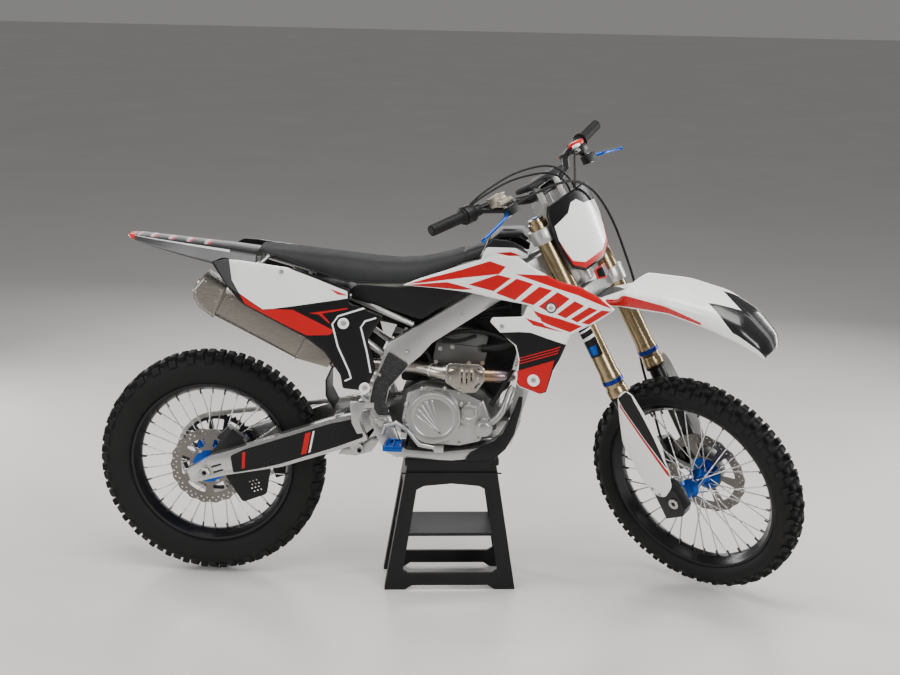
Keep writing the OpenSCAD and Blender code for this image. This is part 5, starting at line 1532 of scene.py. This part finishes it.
# front fender
ROWS = [(-50, 644, 634, 46), (-29, 649.6, 634, 52), (57, 649.6, 634, 56), (143, 640, 618, 74),
        (179, 662, 610, 84), (315, 612, 560, 86), (425, 550, 486, 82), (496, 478, 420, 72), (529, 398, 372, 56),
        (526, 360, 350, 40)]
keys = np.cumsum([0] + [math.dist(a[:2], b[:2]) for a, b in zip(ROWS, ROWS[1:])])
rows, marks = [], list(np.linspace(0, keys[-1], 44))
for s in marks:
    e, top, edge, half = (float(np.interp(s, keys, [r[i] for r in ROWS])) for i in range(4))
    ring_pts = []
    for k in range(-9, 10):
        a = k / 9
        crown = 1 - 0.22 * abs(a) ** 2 if abs(a) < 0.72 else 0.886 - (abs(a) - 0.72) / 0.28 * 0.886
        y = math.copysign(half * (abs(a) / 0.8 * 0.94 if abs(a) < 0.8 else 0.94 + (abs(a) - 0.8) / 0.2 * 0.06), a)
        ring_pts.append(steered(e - 16 * abs(a) ** 3 * (s / keys[-1]), y, edge + (top - edge) * crown - 0.5))
    rows.append(ring_pts)


grid_piece("front_fender_shell", rows, "steering", "front_fender", "front_fender", thick=3.5)

# number plate
# up along the steering axis, ahead of it
PLATE = [(740, 72), (770, 79), (860, 88), (940, 94), (966, 94)]
PLATE_HALF = 117
outline = [(-52, 740), (-96, 770), (-PLATE_HALF, 860), (-114, 940), (-96, 966), (-24, 966), (24, 966), (96, 966),
           (114, 940), (PLATE_HALF, 860), (96, 770), (52, 740)]


def on_plate(u, v, s):
    """The number plate's bowed face."""
    return steered(between(PLATE, v)[0] - 15 * abs(u / PLATE_HALF) ** 2.2 - s + 0.4, u, v)


skin("plate_shell", rounded(outline, 8), on_plate, "steering", ["black", "white", "red"],
     regions=[([(-104, 904), (-40, 916), (-14, 938), (14, 938), (40, 916), (104, 904), (108, 862), (90, 784),
                (48, 760), (-48, 760), (-90, 784), (-108, 862)], 1),
              ([(-109, 856), (-92, 776), (-50, 748), (50, 748), (92, 776), (109, 856), (88, 788), (46, 764),
                (-46, 764), (-88, 788)], 2)],
     thick=4, step=12, curl=2.4, node="front_number_plate")
skin("plate_strut", [(-8, 884), (8, 884), (8, 900), (-8, 900)], lambda u, v, s: steered(80 - s, u, v), "steering",
     "plastic", thick=40, step=8, curl=0)
badge = rounded([(-30, 700), (0, 690), (30, 700), (26, 730), (-26, 730)], 5)
skin("badge_plate", badge, lambda u, v, s: steered(84 - 0.2 * abs(u) - s, u, v), "steering", ["red", "black"],
     regions=[(rounded([(-25, 703), (0, 695), (25, 703), (22, 726), (-22, 726)], 4), 1)], thick=4, step=8, curl=1)

# handlebar
# ahead, left and up: the middle, the bends and the left end
BAR_END, GRIP_INNER, BAR_BEND = (-54.7, 420, 1064), (-52, 400, 1062), (-26, 205, 1042)
BAR = [(12, 0, 997), (12, 72, 997), (8, 130, 1014), BAR_BEND, GRIP_INNER, BAR_END]
path = [(e, -y, h) for e, y, h in reversed(BAR[1:])] + [(12, 0, 997)] + BAR[1:]
fine = spline(path, 7)
line = [steered(*q) for q in fine]
radii = [0.014 if abs(q.y) < 66 else 0.014 - 0.003 * min(1, (abs(q.y) - 66) / 60) for q in fine]
v, f = tube_mesh(line, radii, 20)
piece("handlebar_tube", v, f, "steering", "darkmetal", node="handlebar", angle=45)


def along_bar(sgn, dist):
    """Point and outward direction at a distance in mm inboard of the bar's end."""
    tip, near, bend = (Vector((e, sgn * y, h)) for e, y, h in (BAR_END, GRIP_INNER, BAR_BEND))
    if dist <= (near - tip).length:
        inward = (near - tip).normalized()
        return tip + inward * dist, -inward
    inward = (bend - near).normalized()
    return near + inward * (dist - (near - tip).length), -inward


for sgn, label in ((-1, "right"), (1, "left")):
    def about_bar(r, dd, t, g=sgn):
        q, d = along_bar(g, dd)
        e1 = Vector((1, 0, 0))
        e1 = (e1 - d * e1.dot(d)).normalized()
        e2 = d.cross(e1)
        p = q + e1 * r + e2 * t
        return steered(*p)

    prof = [(10, -1.0), (14.5, -1.0), (16.6, 1.0)]
    for i in range(18):
        d0 = 6 + i * 6.1
        prof += [(16.5, d0), (15.7, d0 + 1.1), (15.7, d0 + 2.1), (16.5, d0 + 3.2)]
    prof += [(16.5, 114), (22.8, 117), (22.8, 121.5), (10, 121.8)]
    v, f = lathe_mesh(prof, about_bar, 40)
    obj = piece("grip_" + label, v, f, "steering", "hose", node="grips" if sgn < 0 else None, angle=30)
    outward(obj)
    q0 = steered(*along_bar(sgn, 0)[0])
    q1 = steered(*along_bar(sgn, 4)[0])
    join("bar_end_" + label, [drum(q1, q0 + (q0 - q1).normalized() * 0.0005, 8, "bolt", 20, 0.4)], "steering")
soften("hand_controls", 2, "plastic")
for sgn, label in ((-1, "right"), (1, "left")):
    tilt = math.radians(12)
    blade = [(46 + u, sgn * (222 + w * math.cos(tilt)), 1007 - w * math.sin(tilt)) for u, w in
             ((2, 1), (8, 14), (14, 30), (15, 48), (12, 70), (8, 92), (2, 116), (-1, 128), (1, 139))]
    tube("lever_" + label, blade, [6, 5.6, 5.4, 4.6, 4.4, 4.3, 4.3, 4.6, 6.4], "steering", "blue", steered,
         steps=6, sides=12, node="hand_levers" if sgn < 0 else None)
    join("lever_pivot_" + label, [drum(steered(40, sgn * 212, 992), steered(40, sgn * 212, 1022), 7, "bolt", 20,
         0.6)], "steering")


def block_at(name, centre, size, mat, cut):
    """A small housing with rounded edges on the bars, its size in mm along the steered axes."""
    cx, cy, ch = centre
    sx, sy, sh = (s / 2 for s in size)
    verts = [steered(cx + i * sx, cy + j * sy, ch + k * sh) for i in (-1, 1) for j in (-1, 1) for k in (-1, 1)]
    faces = [(0, 1, 3, 2), (4, 6, 7, 5), (0, 4, 5, 1), (2, 3, 7, 6), (0, 2, 6, 4), (1, 5, 7, 3)]
    obj = outward(raw(name, verts, faces, mat))
    mod = obj.modifiers.new("round", "BEVEL")
    mod.width, mod.segments = cut / 1000, 2
    bake_modifiers(obj)
    obj.data.shade_smooth()
    obj.data.set_sharp_from_angle(angle=math.radians(42))
    return obj


join("brake_master_cylinder", [block_at("tub", (26, -214, 1046), (34, 44, 26), "perch", 3.5),
     block_at("lid", (26, -214, 1061), (36, 46, 5), "perch", 1.6),
     drum(steered(44, -236, 1040), steered(44, -182, 1036), 9.5, "perch", 24),
     drum(steered(44, -182, 1036), steered(46, -172, 1024), 6, "bolt", 20)], "steering")
join("clutch_perch", [block_at("perch", (20, 214, 1040), (30, 40, 24), "darkmetal", 4),
     block_at("perch_cover", (4, 226, 1058), (38, 40, 16), "red", 6),
     block_at("perch_band", (20, 204, 1054), (22, 18, 12), "white", 3),
     drum(steered(34, 190, 1042), steered(34, 176, 1044), 7, "bolt", 20)], "steering")
join("stop_button", [block_at("button_box", (-22, 180, 1040), (22, 20, 20), "plastic", 4),
     drum(steered(-32, 180, 1042), steered(-38, 180, 1043), 6, "red", 20)], "steering")
tube("clutch_cable", [(34, 176, 1044), (60, 130, 1040), (84, 70, 1000), (84, 30, 950), (50, 0, 900), (30, 0, 850)],
     3.4, "steering", "hose", steered)
screws("bar_clamp_screws", [(steered(e, y, 1017), tuple(steered(0, 0, 1) - steered(0, 0, 0)), 4.2)
       for e in (-6, 30) for y in (-58, -36, 36, 58)], "steering")
screws("clamp_screws", [(steered(e, g * 100, h), tuple(steered(1, 0, 0) - steered(0, 0, 0)), 4) for g in (-1, 1)
       for e, h in ((54, 664), (54, 682), (54, 884), (54, 900))], "steering")
soften("front_caliper", 2.5, "darkmetal")


# bar pad
def bar_pad():
    """The foam pad on the bar mounts: crowned, with pulled-in corners."""
    verts, m, n = [], 24, 24
    for i in range(m + 1):
        y = -88 + 176 * i / m
        end = max(0.05, 1 - abs(y / 88) ** 8) ** 0.5
        for k in range(n):
            a = 2 * math.pi * k / n
            c, s = math.cos(a), math.sin(a)
            e = 12 + 37 * (0.85 + 0.15 * end) * math.copysign(abs(c) ** 0.5, c)
            h = 1028.5 + 10.4 * (0.55 + 0.45 * end) * math.copysign(abs(s) ** 0.6, s)
            verts.append(steered(e, y, h))
    faces = [(i * n + k, i * n + (k + 1) % n, (i + 1) * n + (k + 1) % n, (i + 1) * n + k) for i in range(m)
             for k in range(n)]
    faces += [tuple(range(n)), tuple(m * n + k for k in reversed(range(n)))]
    obj = outward(raw("bar_pad_foam", verts, faces, "seat_front", 60))
    subdivide(obj)
    place_on(obj, "steering", "bar_pad")


bar_pad()

# hose and cables
HOSE = [(46, -178, 1012), (80, -130, 1016), (108, -50, 1008), (110, 30, 984), (100, 96, 925), (86, 132, 830),
        (66, 146, 720), (40, 148, 590), (-14, 140, 470), (-32, 114, 380), (-38, 92, 280), (-46, 76, 200),
        (-52, 66, 139)]
tube("brake_hose_line", HOSE, 4, "steering", "hose", steered, node="brake_hose")
CABLE_A = [(-30, -262, 1072), (4, -210, 1086), (44, -110, 1088), (72, 0, 1056), (68, 60, 985), (56, 60, 930),
           (48, 54, 840)]
CABLE_B = [(-40, -262, 1066), (-14, -200, 1074), (24, -110, 1072), (64, -10, 1040), (62, 42, 985), (52, 46, 925),
           (46, 42, 840)]
for label, path in (("a", CABLE_A), ("b", CABLE_B)):
    tube("throttle_cable_" + label, path, 3, "steering", "hose", steered,
         node="control_cables" if label == "a" else None)
for name in ("front_spokes", "rear_spokes"):
    soften(name, 0, "steel")


# ---------- floor, light and camera ----------
def stage_surface():
    """Pale floor with soft, uneven gloss."""
    s = Shader("pale studio floor")
    wide = s.noise(0.9, 5)
    s.set(Base_Color=s.mix(wide, (0.60, 0.58, 0.56), (0.70, 0.68, 0.66)), Roughness=0.3 + s.noise(3, 4) * 0.2)
    return s.mat


floor_mesh = bpy.data.meshes.new("floor")
HALF = 30
floor_mesh.from_pydata([(x * HALF, y * HALF, 0) for x, y in ((-1, -1), (1, -1), (1, 1), (-1, 1))], [],
                       [(0, 1, 2, 3)])
floor_mesh.materials.append(stage_surface())
floor = bpy.data.objects.new("floor", floor_mesh)
bpy.context.scene.collection.objects.link(floor)


def area(name, place, target, size, power, colour=(1, 1, 1)):
    """A soft rectangular light that faces its target."""
    data = bpy.data.lights.new(name, "AREA")
    data.shape, data.size, data.size_y, data.energy, data.color = "RECTANGLE", *size, power, colour
    lamp = bpy.data.objects.new(name, data)
    lamp.location = place
    lamp.rotation_euler = (Vector(target) - Vector(place)).to_track_quat("-Z", "Y").to_euler()
    bpy.context.scene.collection.objects.link(lamp)


area("overhead", (0.2, -0.7, 3.4), (0, 0, 0.5), (3.6, 1.6), 138, (1, 0.985, 0.97))
area("right key", (2.9, -3.9, 2.3), (0.1, 0, 0.6), (1.5, 1.5), 100)
area("left fill", (-3.2, -3.2, 1.7), (-0.2, 0, 0.6), (1.2, 1.8), 60)
area("left tube", (-2.7, 1.4, 1.3), (0, 0, 0.7), (0.25, 2.6), 60)
area("right tube", (2.9, 1.4, 1.3), (0, 0, 0.7), (0.25, 2.6), 60)
area("back strip", (0.3, 3.4, 1.7), (0, 0, 0.7), (5, 0.7), 50)
world = bpy.data.worlds.new("studio")
world.use_nodes = True
world.node_tree.nodes["Background"].inputs[0].default_value = (0.70, 0.69, 0.68, 1)
world.node_tree.nodes["Background"].inputs[1].default_value = 0.33
bpy.context.scene.world = world

CAMERA_PLACE, LENS = (0.367, -4.681, 1.940), 64.16
YAW, PITCH, ROLL = math.radians(-4.29), math.radians(14.02), math.radians(1.02)
ahead = Vector((math.sin(YAW) * math.cos(PITCH), math.cos(YAW) * math.cos(PITCH), -math.sin(PITCH)))
side = Vector((math.cos(YAW), -math.sin(YAW), 0))
up = side.cross(ahead)
side, up = (side * math.cos(ROLL) + up * math.sin(ROLL), up * math.cos(ROLL) - side * math.sin(ROLL))
camera = bpy.data.objects.new("camera", bpy.data.cameras.new("camera"))
camera.data.sensor_width, camera.data.lens = 36, LENS
camera.matrix_world = Matrix(((side.x, up.x, -ahead.x, CAMERA_PLACE[0]),
                              (side.y, up.y, -ahead.y, CAMERA_PLACE[1]),
                              (side.z, up.z, -ahead.z, CAMERA_PLACE[2]), (0, 0, 0, 1)))
bpy.context.scene.collection.objects.link(camera)
bpy.context.scene.camera = camera
